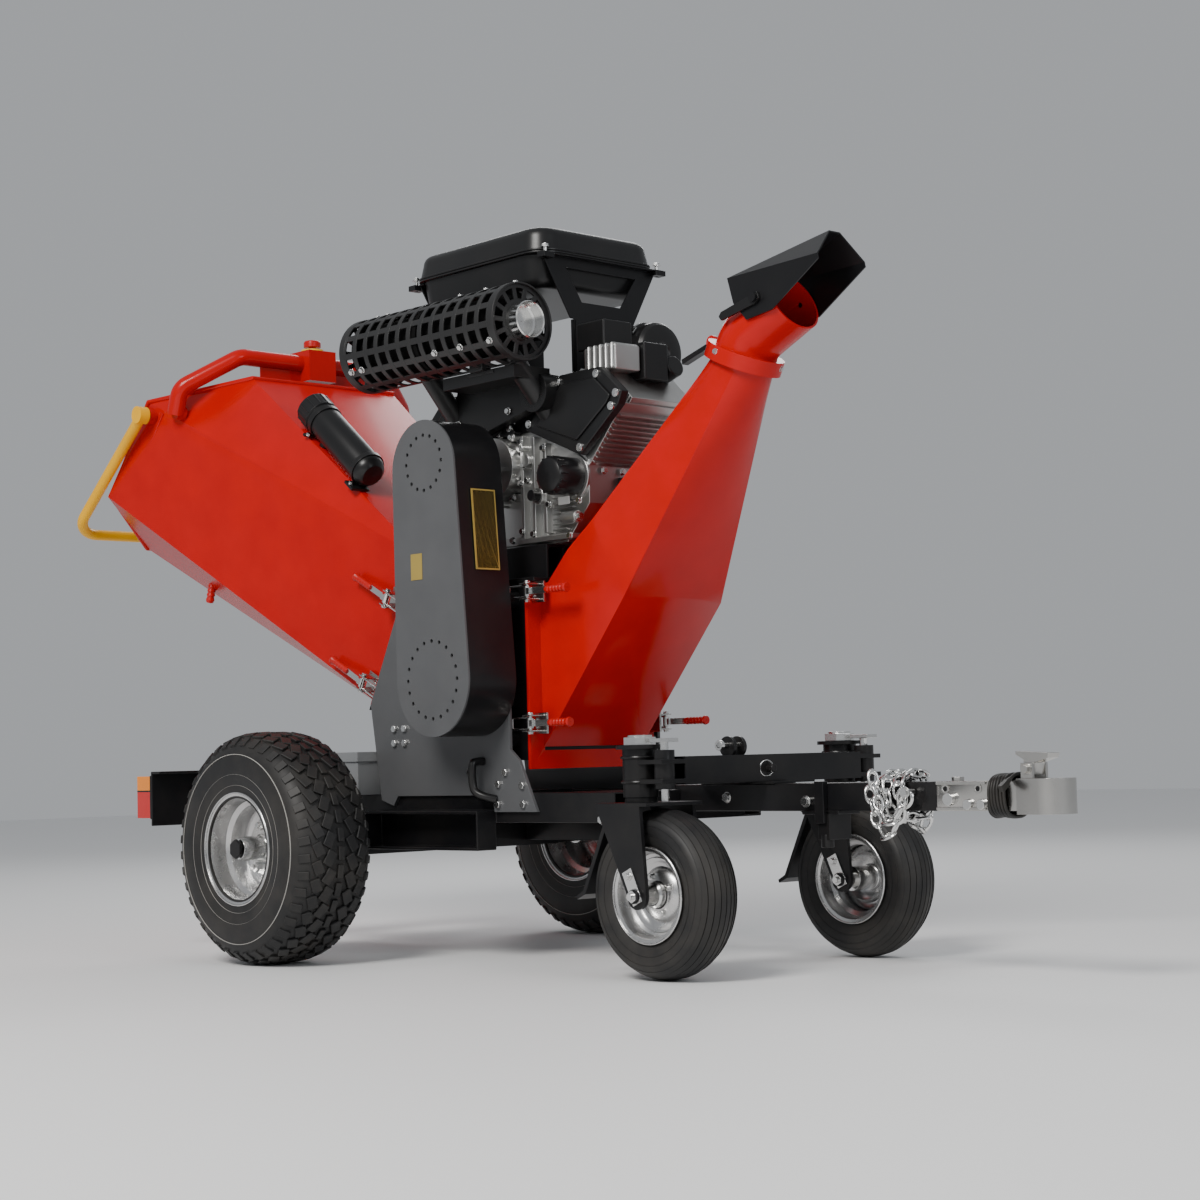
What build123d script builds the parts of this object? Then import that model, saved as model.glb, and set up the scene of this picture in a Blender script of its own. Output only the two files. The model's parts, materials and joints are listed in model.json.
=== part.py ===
from math import cos, hypot, radians, sin
import os

from build123d import *

# Towed wood chipper, sizes in millimetres. While it is being built, x is measured
# forwards from the rear axle, y to the left of travel and z up from the ground.

# wheels and running gear
rear_wheel_radius = 235.0
rear_tyre_width = 190.0
rear_rim_radius = 101.6
rear_track = 912.0
caster_radius = 153.0
caster_tyre_width = 100.0
caster_rim_radius = 76.0
caster_track = 546.0
caster_axle_x = 948.0
kingpin_x = 893.0
kingpin_radius = 22.5
axle_radius = 12.5
caster_axle_radius = 8.0
post_radius = 32.5
lock_pin_x = 955.0
lock_pin_radius = 8.0

# chassis
rail_width = 50.0
rail_height = 58.0
rail_bottom = 276.0
rail_outer = 200.0
rail_rear = -450.0
rail_front = 745.0
tube_wall = 4.0
bar_size = 50.8
bar_bottom = 292.0
bar_rear = 600.0
bar_front = 1373.0
beam_x = 950.0
beam_bottom = 347.0
beam_half = 240.0

# chipping chamber
plate_thickness = 8.0
shell_half_width = 165.0
shell_wall = 8.0
shell_top = 752.0
shell_front = 467.0
rotor_x = 369.0
rotor_z = 560.0
rotor_radius = 74.0
knife_radius = 82.0
chamber_radius = 90.0
shaft_radius = 20.0
rotor_pulley_radius = 80.0

# belt drive
crank_x = 355.0
crank_z = 991.0
crank_radius = 14.0
engine_pulley_radius = 55.0
guard_back = 208.0
guard_face = 330.0
guard_top_z = 980.0
guard_top_radius = 97.0
guard_bottom_radius = 112.0
guard_sheet = 3.0
cover_sheet = 4.0
belt_inner_y = 240.0
belt_outer_y = 285.0
belt_thickness = 8.0

# engine
deck_top = 760.0
engine_base = 828.0
engine_middle = 420.0
crankcase_top = 1060.0
crankcase_near = -110.0
crankcase_far = 130.0
tank_flange_z = 1414.0
muffler_y = -232.0
muffler_z = 1255.0
muffler_radius = 70.0
shield_radius = 78.0

# feed hopper
outlet_low = (-16.0, 521.0)
outlet_tilt = 27.0
outlet_length = 340.0
outlet_half = 160.0
mouth_side_top = (-660.0, 1246.0)
mouth_side_low = (-827.0, 1042.0)
mouth_side_half = 325.0
mouth_floor = (-875.0, 930.0)
mouth_roof = (-420.0, 1280.0)
mouth_inner_half = 200.0
hopper_sheet = 4.0
feed_pivot = (-650.0, 1212.0)
feed_bar_half = 350.0
feed_bar_radius = 12.5
feed_bar_end = (-955.0, 965.0)

# discharge chute, elbow and hood
chute_half = 136.0
chute_sheet = 4.0
chute_low = 413.0
chute_high = 745.0
neck = (925.0, 1150.0)
neck_tilt = 26.0
neck_radius = 62.0
ring_radius = 76.0
elbow_radius = 61.0
elbow_bend = 70.0
elbow_turn = 39.0
elbow_run = 100.0
hood_pivot = (1022.0, 1243.0)
hood_plate_y = 63.5
hood_sheet = 3.0

# coupler
coupler_x = 1600.0
socket_radius = 25.7
coupler_head_radius = 38.0

running_fit = 0.05
free_gap = 0.3
hub_inset = 8.0
rear_reach = -feed_bar_end[0] + feed_bar_radius
front_reach = coupler_x + coupler_head_radius
middle_x = (front_reach - rear_reach) / 2
sides = ((-1, "right"), (1, "left"))

os.makedirs("parts", exist_ok=True)


def finish(piece, name, *seated):
    # the finished object stands on the middle of its own footprint
    whole = piece.part
    if seated:
        whole = Compound([solid for other in (piece, *seated) for solid in other.part.solids()])
    whole.label = name
    placed = whole.moved(Location((-middle_x, 0, 0)))
    placed.label = name
    export_step(placed, f"parts/{name}.step")


def block(x_range, y_range, z_range, mode=Mode.ADD):
    spans = (x_range, y_range, z_range)
    middle = [(low + high) / 2 for low, high in spans]
    with Locations(tuple(middle)):
        Box(*[high - low for low, high in spans], mode=mode)


def slab(outline, y_low, y_high, mode=Mode.ADD):
    # flat plate cut to an outline of (x, z) corners
    with BuildSketch(Plane.XZ.offset(-y_high)) as shape:
        with BuildLine():
            Polyline(*outline, close=True)
        make_face()
    extrude(shape.sketch, amount=y_high - y_low, mode=mode)


def rod(start, end, radius, mode=Mode.ADD):
    axis = Vector(*end) - Vector(*start)
    with BuildSketch(Plane(origin=start, z_dir=axis)) as section:
        Circle(radius)
    extrude(section.sketch, amount=axis.length, mode=mode)


def across(x, z, radius, y_low, y_high, mode=Mode.ADD):
    rod((x, y_low, z), (x, y_high, z), radius, mode)


def pipe(points, radius, bend):
    with BuildLine() as path:
        FilletPolyline(*points, radius=bend)
    heading = Vector(*points[1]) - Vector(*points[0])
    with BuildSketch(Plane(origin=points[0], z_dir=heading)) as section:
        Circle(radius)
    sweep(section.sketch, path=path.wires()[0])


def panel(corners, sheet, inside):
    # sheet-metal facet whose thickness lies on the inner side
    face = Face(Wire.make_polygon([Vector(*corner) for corner in corners]))
    inward = (Vector(*inside) - face.center()).dot(face.normal_at()) > 0
    extrude(face, amount=sheet if inward else -sheet)


def spun(outline, centre, mode=Mode.ADD):
    # outline of (radius, across) corners turned about a wheel's axle
    with BuildSketch(Plane(origin=centre)) as shape:
        with BuildLine():
            Polyline(*outline, close=True)
        make_face()
    revolve(shape.sketch, axis=Axis(centre, (0, 1, 0)), mode=mode)


def square_tube(x_range, y_range, z_range, along):
    block(x_range, y_range, z_range)
    inner = []
    for index, (low, high) in enumerate((x_range, y_range, z_range)):
        inner.append((low, high) if index == along else (low + tube_wall, high - tube_wall))
    block(*inner, mode=Mode.SUBTRACT)


# ---- wheels: tyre shell and pressed rim with hub, one pair per axle
def tyre(name, centre, radius, width, bead):
    half = width / 2
    seat = half - 6
    wall = 14.0
    with BuildPart() as shell:
        spun(
            [(bead + 0.2, -seat), (bead + 12, -seat), (bead + 30, -half), (radius - 40, -half),
             (radius - 14, -half + 8), (radius, -half + 30), (radius, half - 30),
             (radius - 14, half - 8), (radius - 40, half), (bead + 30, half),
             (bead + 12, seat), (bead + 0.2, seat),
             (bead + 0.2, seat - wall), (bead + 26, half - wall), (radius - 32, half - wall),
             (radius - wall, half - 34), (radius - wall, 34 - half), (radius - 32, wall - half),
             (bead + 26, wall - half), (bead + 0.2, wall - seat)],
            centre)
    finish(shell, name)


def rim(name, centre, bead, width, bore, side, dish, lugs):
    half = width / 2 - 6
    lip = 3.0
    outward = side * (half - dish)
    with BuildPart() as wheel:
        spun([(bead - 3, -half - lip), (bead + 11, -half - lip), (bead + 11, -half), (bead, -half),
              (bead, half), (bead + 11, half), (bead + 11, half + lip), (bead - 3, half + lip)], centre)
        x, y, z = centre
        across(x, z, bead - 2, y + outward - 3, y + outward + 3)
        across(x, z, bore + 16, y - width / 2 + hub_inset, y + width / 2 - hub_inset)
        if lugs:
            with BuildSketch(Plane(origin=(x, y + outward, z), z_dir=(0, side, 0))) as nuts:
                with PolarLocations(50, lugs):
                    RegularPolygon(10, 6)
            extrude(nuts.sketch, amount=18)
        across(x, z, bore + running_fit, y - width, y + width, mode=Mode.SUBTRACT)
    finish(wheel, name)


for side, hand in sides:
    rear_centre = (0, side * rear_track / 2, rear_wheel_radius)
    tyre(f"rear_tyre_{hand}", rear_centre, rear_wheel_radius, rear_tyre_width, rear_rim_radius)
    rim(f"rear_rim_{hand}", rear_centre, rear_rim_radius, rear_tyre_width, axle_radius, side, 45, 4)
    caster_centre = (caster_axle_x, side * caster_track / 2, caster_radius)
    tyre(f"caster_tyre_{hand}", caster_centre, caster_radius, caster_tyre_width, caster_rim_radius)
    rim(f"caster_rim_{hand}", caster_centre, caster_rim_radius, caster_tyre_width,
        caster_axle_radius, side, 20, 0)

# ---- casters: fork with kingpin, lock pin and wheel brake
fork_top = 317.0
fork_plate = 6.0
arm_y = 63.0
arm_sheet = 8.0
post_bottom = 326.0
post_top = 420.0
brake_pivot = (833.0, 287.0)
brake_toe = (765.0, 152.0)
hub_half = caster_tyre_width / 2 - hub_inset

for side, hand in sides:
    middle = side * caster_track / 2
    with BuildPart() as kingpin:
        rod((kingpin_x, middle, fork_top), (kingpin_x, middle, post_bottom - free_gap), 30)
        rod((kingpin_x, middle, fork_top), (kingpin_x, middle, 438), kingpin_radius)
        with BuildSketch(Plane.XY.offset(post_top + free_gap)) as nut:
            with Locations((kingpin_x, middle)):
                RegularPolygon(30, 6)
        extrude(nut.sketch, amount=14)

    with BuildPart() as fork:
        block((847, 978), (middle - arm_y - arm_sheet, middle + arm_y + arm_sheet),
              (fork_top - fork_plate, fork_top))
        for flank in (-1, 1):
            low = middle + flank * arm_y
            high = middle + flank * (arm_y + arm_sheet)
            arm = [(847, fork_top - fork_plate), (960, fork_top - fork_plate),
                   (caster_axle_x + 24, caster_radius), (caster_axle_x, caster_radius - 24),
                   (caster_axle_x - 24, caster_radius)]
            slab(arm, min(low, high), max(low, high))
            across(caster_axle_x, caster_radius, 24, min(low, high), max(low, high))
            ear = middle + flank * 36
            slab([(822, fork_top), (850, fork_top), (850, 280), (826, 276)],
                 ear - 4, ear + 4)
        across(caster_axle_x, caster_radius, caster_axle_radius, middle - 78, middle + 78)
        for flank in (-1, 1):
            near = middle + flank * (hub_half + free_gap)
            far = middle + flank * arm_y
            across(caster_axle_x, caster_radius, 15, min(near, far), max(near, far))
            head = middle + flank * 71
            tip = middle + flank * 80
            across(caster_axle_x, caster_radius, 13, min(head, tip), max(head, tip))
        across(*brake_pivot, 5 + running_fit, middle - 45, middle + 45, mode=Mode.SUBTRACT)
        rod((lock_pin_x, middle, 300), (lock_pin_x, middle, 320), lock_pin_radius + 1,
            mode=Mode.SUBTRACT)
    finish(fork, f"caster_fork_{hand}", kingpin)

    with BuildPart() as brake:
        across(*brake_pivot, 5, middle - 41, middle + 41)
        slab([(830, 292), (838, 288), (770, 150), (748, 140), (746, 146), (764, 156)],
             middle - 31, middle + 31)
    finish(brake, f"caster_brake_{hand}")

    with BuildPart() as pin:
        rod((lock_pin_x, middle, fork_top + 1), (lock_pin_x, middle, 426), lock_pin_radius)
        block((lock_pin_x - 22, lock_pin_x + 22), (middle - 15, middle + 15), (424, 431))
    finish(pin, f"lock_pin_{hand}")

# ---- front beam: cross tube, kingpin posts and lock-pin tubes, welded together
beam_top = beam_bottom + bar_size
with BuildPart() as front_beam:
    block((beam_x - 25, beam_x + 25), (-beam_half, beam_half), (beam_bottom, beam_top))
    block((beam_x - 21, beam_x + 21), (-beam_half, beam_half), (beam_bottom + 4, beam_top - 4),
          mode=Mode.SUBTRACT)
    bar_top = bar_bottom + bar_size
    block((beam_x - 45, beam_x + 45), (-30, 30), (bar_top, beam_bottom))
    for side in (-1, 1):
        middle = side * caster_track / 2
        rod((kingpin_x, middle, post_bottom), (kingpin_x, middle, post_top), post_radius)
        rod((kingpin_x, middle, post_top - 7), (kingpin_x, middle, post_top), 44)
        rod((lock_pin_x, middle, 340), (lock_pin_x, middle, 410), 19)
        inner = side * (beam_half - 4)
        outer = middle + side * 26
        for level in (350, 385):
            block((kingpin_x, beam_x + 25), (min(inner, outer), max(inner, outer)), (level, level + 8))
        rod((kingpin_x, middle, 300), (kingpin_x, middle, 440), kingpin_radius + running_fit,
            mode=Mode.SUBTRACT)
        rod((lock_pin_x, middle, 300), (lock_pin_x, middle, 440), lock_pin_radius + running_fit,
            mode=Mode.SUBTRACT)
    for ear in (-102, -76):
        block((beam_x - 12, beam_x + 12), (ear - 3, ear + 3), (beam_top, beam_top + 30))
    # braces from the beam back to the drawbar
    for side in (-1, 1):
        with BuildSketch(Plane.XY.offset(bar_top)) as brace:
            with BuildLine():
                Polyline((beam_x - 25, side * 150), (beam_x - 25, side * 25), (800, side * 25), close=True)
            make_face()
        extrude(brace.sketch, amount=6)
        block((beam_x - 25, beam_x - 15), (min(side * 25, side * 150), max(side * 25, side * 150)),
              (bar_top, beam_bottom))
finish(front_beam, "front_beam")

# ---- drawbar
with BuildPart() as drawbar:
    square_tube((bar_rear, bar_front), (-bar_size / 2, bar_size / 2), (bar_bottom, bar_top), 0)
finish(drawbar, "drawbar")

# ---- chassis: two rails and cross members
rail_top = rail_bottom + rail_height
rail_inner = rail_outer - rail_width
with BuildPart() as chassis:
    for side in (-1, 1):
        reach = sorted((side * rail_inner, side * rail_outer))
        square_tube((rail_rear, rail_front), reach, (rail_bottom, rail_top), 0)
    for x in (rail_rear, bar_rear - rail_width, 190.0, rail_front - rail_width):
        square_tube((x, x + rail_width), (-rail_inner, rail_inner), (rail_bottom, rail_top), 1)
    block((bar_rear, rail_front), (-bar_size / 2, bar_size / 2), (bar_bottom, bar_top), mode=Mode.SUBTRACT)
    for side in (-1, 1):
        # channel outrigger beside the axle
        reach = sorted((side * rail_outer, side * (rail_outer + 50)))
        block((30, 400), reach, (222, 300))
        cut = sorted((side * (rail_outer + 5), side * (rail_outer + 50)))
        block((35, 395), cut, (228, 294), mode=Mode.SUBTRACT)
finish(chassis, "chassis_frame")

# ---- rear axle: square tube, saddles and stub shafts
with BuildPart() as rear_axle:
    block((-25, 25), (-300, 300), (rear_wheel_radius - 25, rear_wheel_radius + 25))
    for side in (-1, 1):
        block((-30, 30), sorted((side * rail_inner, side * rail_outer)),
              (rear_wheel_radius + 25, rail_bottom))
        hub_inner = side * (rear_track / 2 - rear_tyre_width / 2 + hub_inset - free_gap)
        end = side * (rear_track / 2 + rear_tyre_width / 2 - hub_inset + 6)
        across(0, rear_wheel_radius, axle_radius, *sorted((side * 290, end)))
        across(0, rear_wheel_radius, 24, *sorted((side * 300, hub_inner)))
        nut_y = side * (rear_track / 2 + rear_tyre_width / 2 - hub_inset + free_gap)
        with BuildSketch(Plane(origin=(0, nut_y, rear_wheel_radius), z_dir=(0, side, 0))) as nut:
            RegularPolygon(20, 6)
        extrude(nut.sketch, amount=7)
finish(rear_axle, "rear_axle")

# ---- light bar with its two lamps
light_low = 276.0
light_high = 394.0
light_half = 460.0
lamp_width = 92.0
with BuildPart() as light_bar:
    block((rail_rear - 5, rail_rear), (-light_half, light_half), (light_low, light_high))
    block((rail_rear - 5, rail_rear + 30), (-light_half, light_half), (light_high - 5, light_high))
finish(light_bar, "light_bar")
with BuildPart() as tail_lights:
    for side in (-1, 1):
        lamp = sorted((side * (light_half - lamp_width), side * light_half))
        block((rail_rear - 65, rail_rear - 5), lamp, (291, 385))
    fillet(tail_lights.edges().filter_by(Axis.X), 8)
finish(tail_lights, "tail_lights")

with BuildPart() as battery_box:
    block((-205, 15), (-250, -40), (rail_top, 420))
    block((-202, 12), (-247, -43), (rail_top + 3, 420), mode=Mode.SUBTRACT)
    block((-209, 19), (-254, -36), (420, 424))
    for x in (-209, 16):
        block((x, x + 3), (-254, -36), (404, 424))
    block((-209, 19), (-254, -251), (404, 424))
    block((-209, 19), (-39, -36), (404, 424))
finish(battery_box, "battery_box")

# ---- side plates of the chamber, bolted to the rails
tilt = radians(outlet_tilt)
along_flange = (sin(tilt), cos(tilt))
out_of_flange = (-cos(tilt), sin(tilt))


def on_flange(distance, off=0.0):
    return (outlet_low[0] + distance * along_flange[0] + off * out_of_flange[0],
            outlet_low[1] + distance * along_flange[1] + off * out_of_flange[1])


plate_outline = [(40, 322), (8, 521), on_flange(0, -20), on_flange(250, -20), (455, shell_top - 2),
                 (455, 420), (482, 398), (532, 297), (405, 297), (400, 330), (95, 330), (80, 310)]
with BuildPart() as side_plates:
    for side in (-1, 1):
        reach = sorted((side * rail_outer, side * (rail_outer + plate_thickness)))
        slab(plate_outline, *reach)
        across(rotor_x, rotor_z, 56, *reach, mode=Mode.SUBTRACT)
finish(side_plates, "housing_side_plates")

# ---- chamber shell with the throat, the drum chamber and the discharge opening
shell_outline = [on_flange(0), on_flange(outlet_length), (185, 815), (215, shell_top),
                 (shell_front, shell_top), (shell_front, 398), (300, 398), (150, 440)]
throat = [on_flange(20, 1), on_flange(outlet_length - 20, 1), (190, 790), (330, 660), (330, 490),
          (240, 470)]
outlet = [(rotor_x, 470), (shell_front + 1, chute_low + 12), (shell_front + 1, chute_high - 12),
          (rotor_x - 30, 700), (rotor_x - 60, 620)]
chamber_half = shell_half_width - shell_wall
with BuildPart() as housing_shell:
    slab(shell_outline, -shell_half_width, shell_half_width)
    slab(throat, 8 - chamber_half, chamber_half - 8, mode=Mode.SUBTRACT)
    slab(outlet, -chute_half + chute_sheet, chute_half - chute_sheet, mode=Mode.SUBTRACT)
    across(rotor_x, rotor_z, chamber_radius, -chamber_half, chamber_half, mode=Mode.SUBTRACT)
    across(rotor_x, rotor_z, shaft_radius + 3, -200, 200, mode=Mode.SUBTRACT)
    for x, z in ((120, 480), (420, 440), (430, 720), (140, 700)):
        for side in (-1, 1):
            across(x, z, 18, *sorted((side * shell_half_width, side * rail_outer)))
    # bed knife on the throat floor
    block((245, rotor_x - knife_radius - 2), (8 - chamber_half, chamber_half - 8), (545, 560))
finish(housing_shell, "housing_shell")

with BuildPart() as shaft_bearings:
    for side in (-1, 1):
        reach = sorted((side * shell_half_width, side * (rail_outer - 3)))
        across(rotor_x, rotor_z, 44, *reach)
        foot = sorted((side * shell_half_width, side * (shell_half_width + 12)))
        block((rotor_x - 54, rotor_x + 54), foot, (rotor_z - 54, rotor_z + 54))
        across(rotor_x, rotor_z, shaft_radius + running_fit, *reach, mode=Mode.SUBTRACT)
finish(shaft_bearings, "shaft_bearings")

# ---- rotor: drum, shaft, two knives and the driven pulley
with BuildPart() as rotor:
    across(rotor_x, rotor_z, rotor_radius, 15 - chamber_half, chamber_half - 15)
    across(rotor_x, rotor_z, shaft_radius, -302, rail_outer - 4)
    for side in (-1, 1):
        block((rotor_x - 14, rotor_x + 14), (15 - chamber_half, chamber_half - 15),
              sorted((rotor_z + side * 60, rotor_z + side * (knife_radius - 2))))
    across(rotor_x, rotor_z, rotor_pulley_radius, -belt_outer_y - 4, -belt_inner_y + 4)
finish(rotor, "rotor")

with BuildPart() as engine_pulley:
    across(crank_x, crank_z, crank_radius, -300, -70)
    across(crank_x, crank_z, engine_pulley_radius, -belt_outer_y - 4, -belt_inner_y + 4)
finish(engine_pulley, "engine_pulley")


def loop(y_low, y_high, grow, mode=Mode.ADD):
    with BuildSketch(Plane.XZ.offset(-y_high)) as shape:
        with Locations((crank_x, crank_z)):
            Circle(engine_pulley_radius + grow)
        with Locations((rotor_x, rotor_z)):
            Circle(rotor_pulley_radius + grow)
        make_hull()
    extrude(shape.sketch, amount=y_high - y_low, mode=mode)


with BuildPart() as drive_belts:
    for index in range(3):
        y = -belt_inner_y - index * 15.5
        loop(y - 13, y, free_gap + belt_thickness)
        loop(y - 13, y, free_gap, mode=Mode.SUBTRACT)
finish(drive_belts, "drive_belts")


def guard_shape(y_low, y_high, inset, mode=Mode.ADD):
    with BuildSketch(Plane.XZ.offset(-y_high)) as shape:
        with Locations((crank_x - 3, guard_top_z)):
            Circle(guard_top_radius - inset)
        with Locations((rotor_x, rotor_z)):
            Circle(guard_bottom_radius - inset)
        make_hull()
    extrude(shape.sketch, amount=y_high - y_low, mode=mode)


with BuildPart() as guard_case:
    guard_shape(cover_sheet - guard_face, -guard_back, 0)
    guard_shape(cover_sheet - guard_face, -guard_back - guard_sheet, guard_sheet, mode=Mode.SUBTRACT)
    across(rotor_x, rotor_z, shaft_radius + 8, -guard_back - 20, -guard_back + 1, mode=Mode.SUBTRACT)
    across(crank_x, crank_z, crank_radius + 8, -guard_back - 20, -guard_back + 1, mode=Mode.SUBTRACT)
finish(guard_case, "belt_guard_case")

with BuildPart() as guard_cover:
    guard_shape(-guard_face, cover_sheet - guard_face, 0)
    for x, z, ring_half, count in ((crank_x, crank_z, 55, 16), (rotor_x, rotor_z, 76.5, 20)):
        with BuildSketch(Plane.XZ.offset(guard_face + 1)) as holes:
            with Locations((x, z)):
                with PolarLocations(ring_half, count):
                    Circle(4)
        extrude(holes.sketch, amount=-cover_sheet - 2, mode=Mode.SUBTRACT)
finish(guard_cover, "belt_guard_cover")

# ---- engine deck and engine
with BuildPart() as engine_deck:
    block((220, 490), (-165, 205), (shell_top, deck_top))
    for y in (-100, 100):
        block((232, 486), (y - 25, y + 25), (deck_top, engine_base))
        block((232, 486), (y - 19, y + 19), (deck_top, engine_base - 6), mode=Mode.SUBTRACT)
finish(engine_deck, "engine_deck")

with BuildPart() as engine_block:
    slab([(285, engine_base), (533, engine_base), (600, 900), (600, 985), (540, crankcase_top),
          (300, crankcase_top), (240, 985), (240, 900)], crankcase_near, crankcase_far)
    across(crank_x, crank_z, 62, -150, crankcase_near)
    for side in (-1, 1):
        bank = [(100, 1050), (180, 975), (280, 1085), (205, 1150)]
        slab([(engine_middle + side * x, z) for x, z in bank], crankcase_near + 2, 95)
    across(crank_x, crank_z, crank_radius + running_fit, -151, -66, mode=Mode.SUBTRACT)
finish(engine_block, "engine_block")

bank_cover = [(15, 1062), (124, 1159), (240, 1160), (301, 1105), (290, 1080), (177, 993)]
with BuildPart() as engine_cowling:
    for side in (-1, 1):
        slab([(engine_middle + side * x, z) for x, z in bank_cover], -131, crankcase_near)
    across(crank_x, crank_z, 66, -152, crankcase_near + 1, mode=Mode.SUBTRACT)
    across(engine_middle - 20, 1000, 150, crankcase_far, 215)
    across(engine_middle - 20, 1000, 80, 215, 240)
    across(engine_middle - 20, 1000, 60, 205, 241, mode=Mode.SUBTRACT)
finish(engine_cowling, "engine_cowling")

with BuildPart() as oil_filter:
    across(558, 955, 38, crankcase_near - 76, crankcase_near)
finish(oil_filter, "oil_filter")

with BuildPart() as air_intake:
    block((360, 470), (-30, 60), (crankcase_top, 1150))
    block((380, 520), (40, 90), (1150.5, 1195))
    rod((540, 100, 1156), (540, 100, 1286), 68)
    rod((540, 100, 1286), (540, 100, 1295), 40)
    block((400, 440), (10, 41), (1150, 1195))
finish(air_intake, "air_intake")

with BuildPart() as muffler:
    rod((62, muffler_y, muffler_z), (553, muffler_y, muffler_z), muffler_radius)
    rod((553, muffler_y, muffler_z), (575, muffler_y, muffler_z), 36)
    rod((540, muffler_y, muffler_z), (576, muffler_y, muffler_z), 31, mode=Mode.SUBTRACT)
    block((380, 460), (-109, -101), (crankcase_top, 1172))
    block((380, 460), (muffler_y, -101), (1166, 1174))
    block((400, 440), (muffler_y - 10, muffler_y + 10), (1170, 1200))
finish(muffler, "muffler")

with BuildPart() as muffler_shield:
    # half shell over the outer and upper side of the silencer
    with BuildSketch(Plane(origin=(66, muffler_y, muffler_z), x_dir=(0, 1, 0), z_dir=(1, 0, 0))) as shape:
        Circle(shield_radius)
        Circle(shield_radius - 3, mode=Mode.SUBTRACT)
        with Locations((0, -shield_radius)):
            Rectangle(3 * shield_radius, shield_radius, mode=Mode.SUBTRACT)
    extrude(shape.sketch, amount=480)
    for x in (90, 300, 500):
        rod((x, muffler_y - 65, muffler_z + 27), (x, muffler_y - 71, muffler_z + 30), 6)
    add(muffler.part, mode=Mode.SUBTRACT)
finish(muffler_shield, "muffler_shield")

with BuildPart() as fuel_tank:
    block((112, 496), (-140, 180), (1352, tank_flange_z))
    fillet(fuel_tank.edges().filter_by(Axis.Z), 40)
    block((90, 520), (-150, 190), (tank_flange_z, tank_flange_z + 15))
    block((104, 506), (-138, 178), (tank_flange_z + 15, 1472))
    rod((250, 20, 1472), (250, 20, 1480), 34)
finish(fuel_tank, "fuel_tank")

with BuildPart() as fuel_cap:
    rod((250, 20, 1480 + free_gap), (250, 20, 1490), 42)
    rod((250, 20, 1474), (250, 20, 1490), 42)
    rod((250, 20, 1470), (250, 20, 1480 + free_gap), 34 + free_gap, mode=Mode.SUBTRACT)
finish(fuel_cap, "fuel_cap")

with BuildPart() as tank_brackets:
    for x, leg_x in ((106, 326), (498, 498)):
        with BuildSketch(Plane.YZ.offset(x)) as plate:
            with BuildLine():
                Polyline((-133, tank_flange_z), (186, tank_flange_z), (104, 1300), (-67, 1300), close=True)
            make_face()
            with Locations((47, 1362)):
                Rectangle(125, 41, mode=Mode.SUBTRACT)
        extrude(plate.sketch, amount=4)
        if leg_x > x:
            block((x, leg_x + 4), (-60, 20), (1296, 1300))
        block((leg_x, leg_x + 4), (-60, 20), (crankcase_top, 1300))
finish(tank_brackets, "tank_brackets")

# ---- feed hopper: eight flat sheet facets between the outlet flange and the mouth
flange_low = on_flange(0)
flange_high = on_flange(outlet_length)
spread = (mouth_side_half - outlet_half) / (
    (mouth_side_top[0] - outlet_low[0]) * out_of_flange[0]
    + (mouth_side_top[1] - outlet_low[1]) * out_of_flange[1])


def side_half(x, z):
    # half width of the flat side panels at a point of their plane
    away = (x - outlet_low[0]) * out_of_flange[0] + (z - outlet_low[1]) * out_of_flange[1]
    return outlet_half + spread * away


def at(point, y):
    return (point[0], y, point[1])


hopper_core = (-420, 0, 960)
with BuildPart() as hopper:
    panel([at(flange_low, -outlet_half), at(flange_low, outlet_half),
           at(mouth_floor, mouth_inner_half), at(mouth_floor, -mouth_inner_half)],
          hopper_sheet, hopper_core)
    panel([at(flange_high, -outlet_half), at(flange_high, outlet_half),
           at(mouth_roof, mouth_inner_half), at(mouth_roof, -mouth_inner_half)],
          hopper_sheet, hopper_core)
    for side in (-1, 1):
        low_corner = at(mouth_side_low, side * side_half(*mouth_side_low))
        top_corner = at(mouth_side_top, side * mouth_side_half)
        low_root = at(flange_low, side * outlet_half)
        high_root = at(flange_high, side * outlet_half)
        floor_corner = at(mouth_floor, side * mouth_inner_half)
        roof_corner = at(mouth_roof, side * mouth_inner_half)
        panel([low_root, high_root, top_corner, low_corner], hopper_sheet, hopper_core)
        panel([low_root, low_corner, floor_corner], hopper_sheet, hopper_core)
        panel([high_root, roof_corner, top_corner], hopper_sheet, hopper_core)
    # outlet flange, face to face with the chamber shell
    frame_plane = Plane(origin=(outlet_low[0], 0, outlet_low[1]), x_dir=(0, 1, 0),
                        z_dir=(out_of_flange[0], 0, out_of_flange[1]))
    flip = 1 if frame_plane.y_dir.Z > 0 else -1
    with BuildSketch(frame_plane) as flange:
        with Locations((0, flip * outlet_length / 2)):
            Rectangle(2 * outlet_half + 50, outlet_length)
            Rectangle(2 * outlet_half - 2 * hopper_sheet, outlet_length - 24, mode=Mode.SUBTRACT)
    extrude(flange.sketch, amount=8)
    # pivot bosses of the feed bar
    boss_face = feed_bar_half - feed_bar_radius - free_gap
    boss_root = side_half(*feed_pivot) - 2
    for side in (-1, 1):
        across(*feed_pivot, 18, *sorted((side * boss_root, side * boss_face)))
        across(*feed_pivot, 6 + running_fit, *sorted((side * (boss_root - 3), side * (boss_face + 1))),
               mode=Mode.SUBTRACT)
finish(hopper, "hopper")

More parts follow.
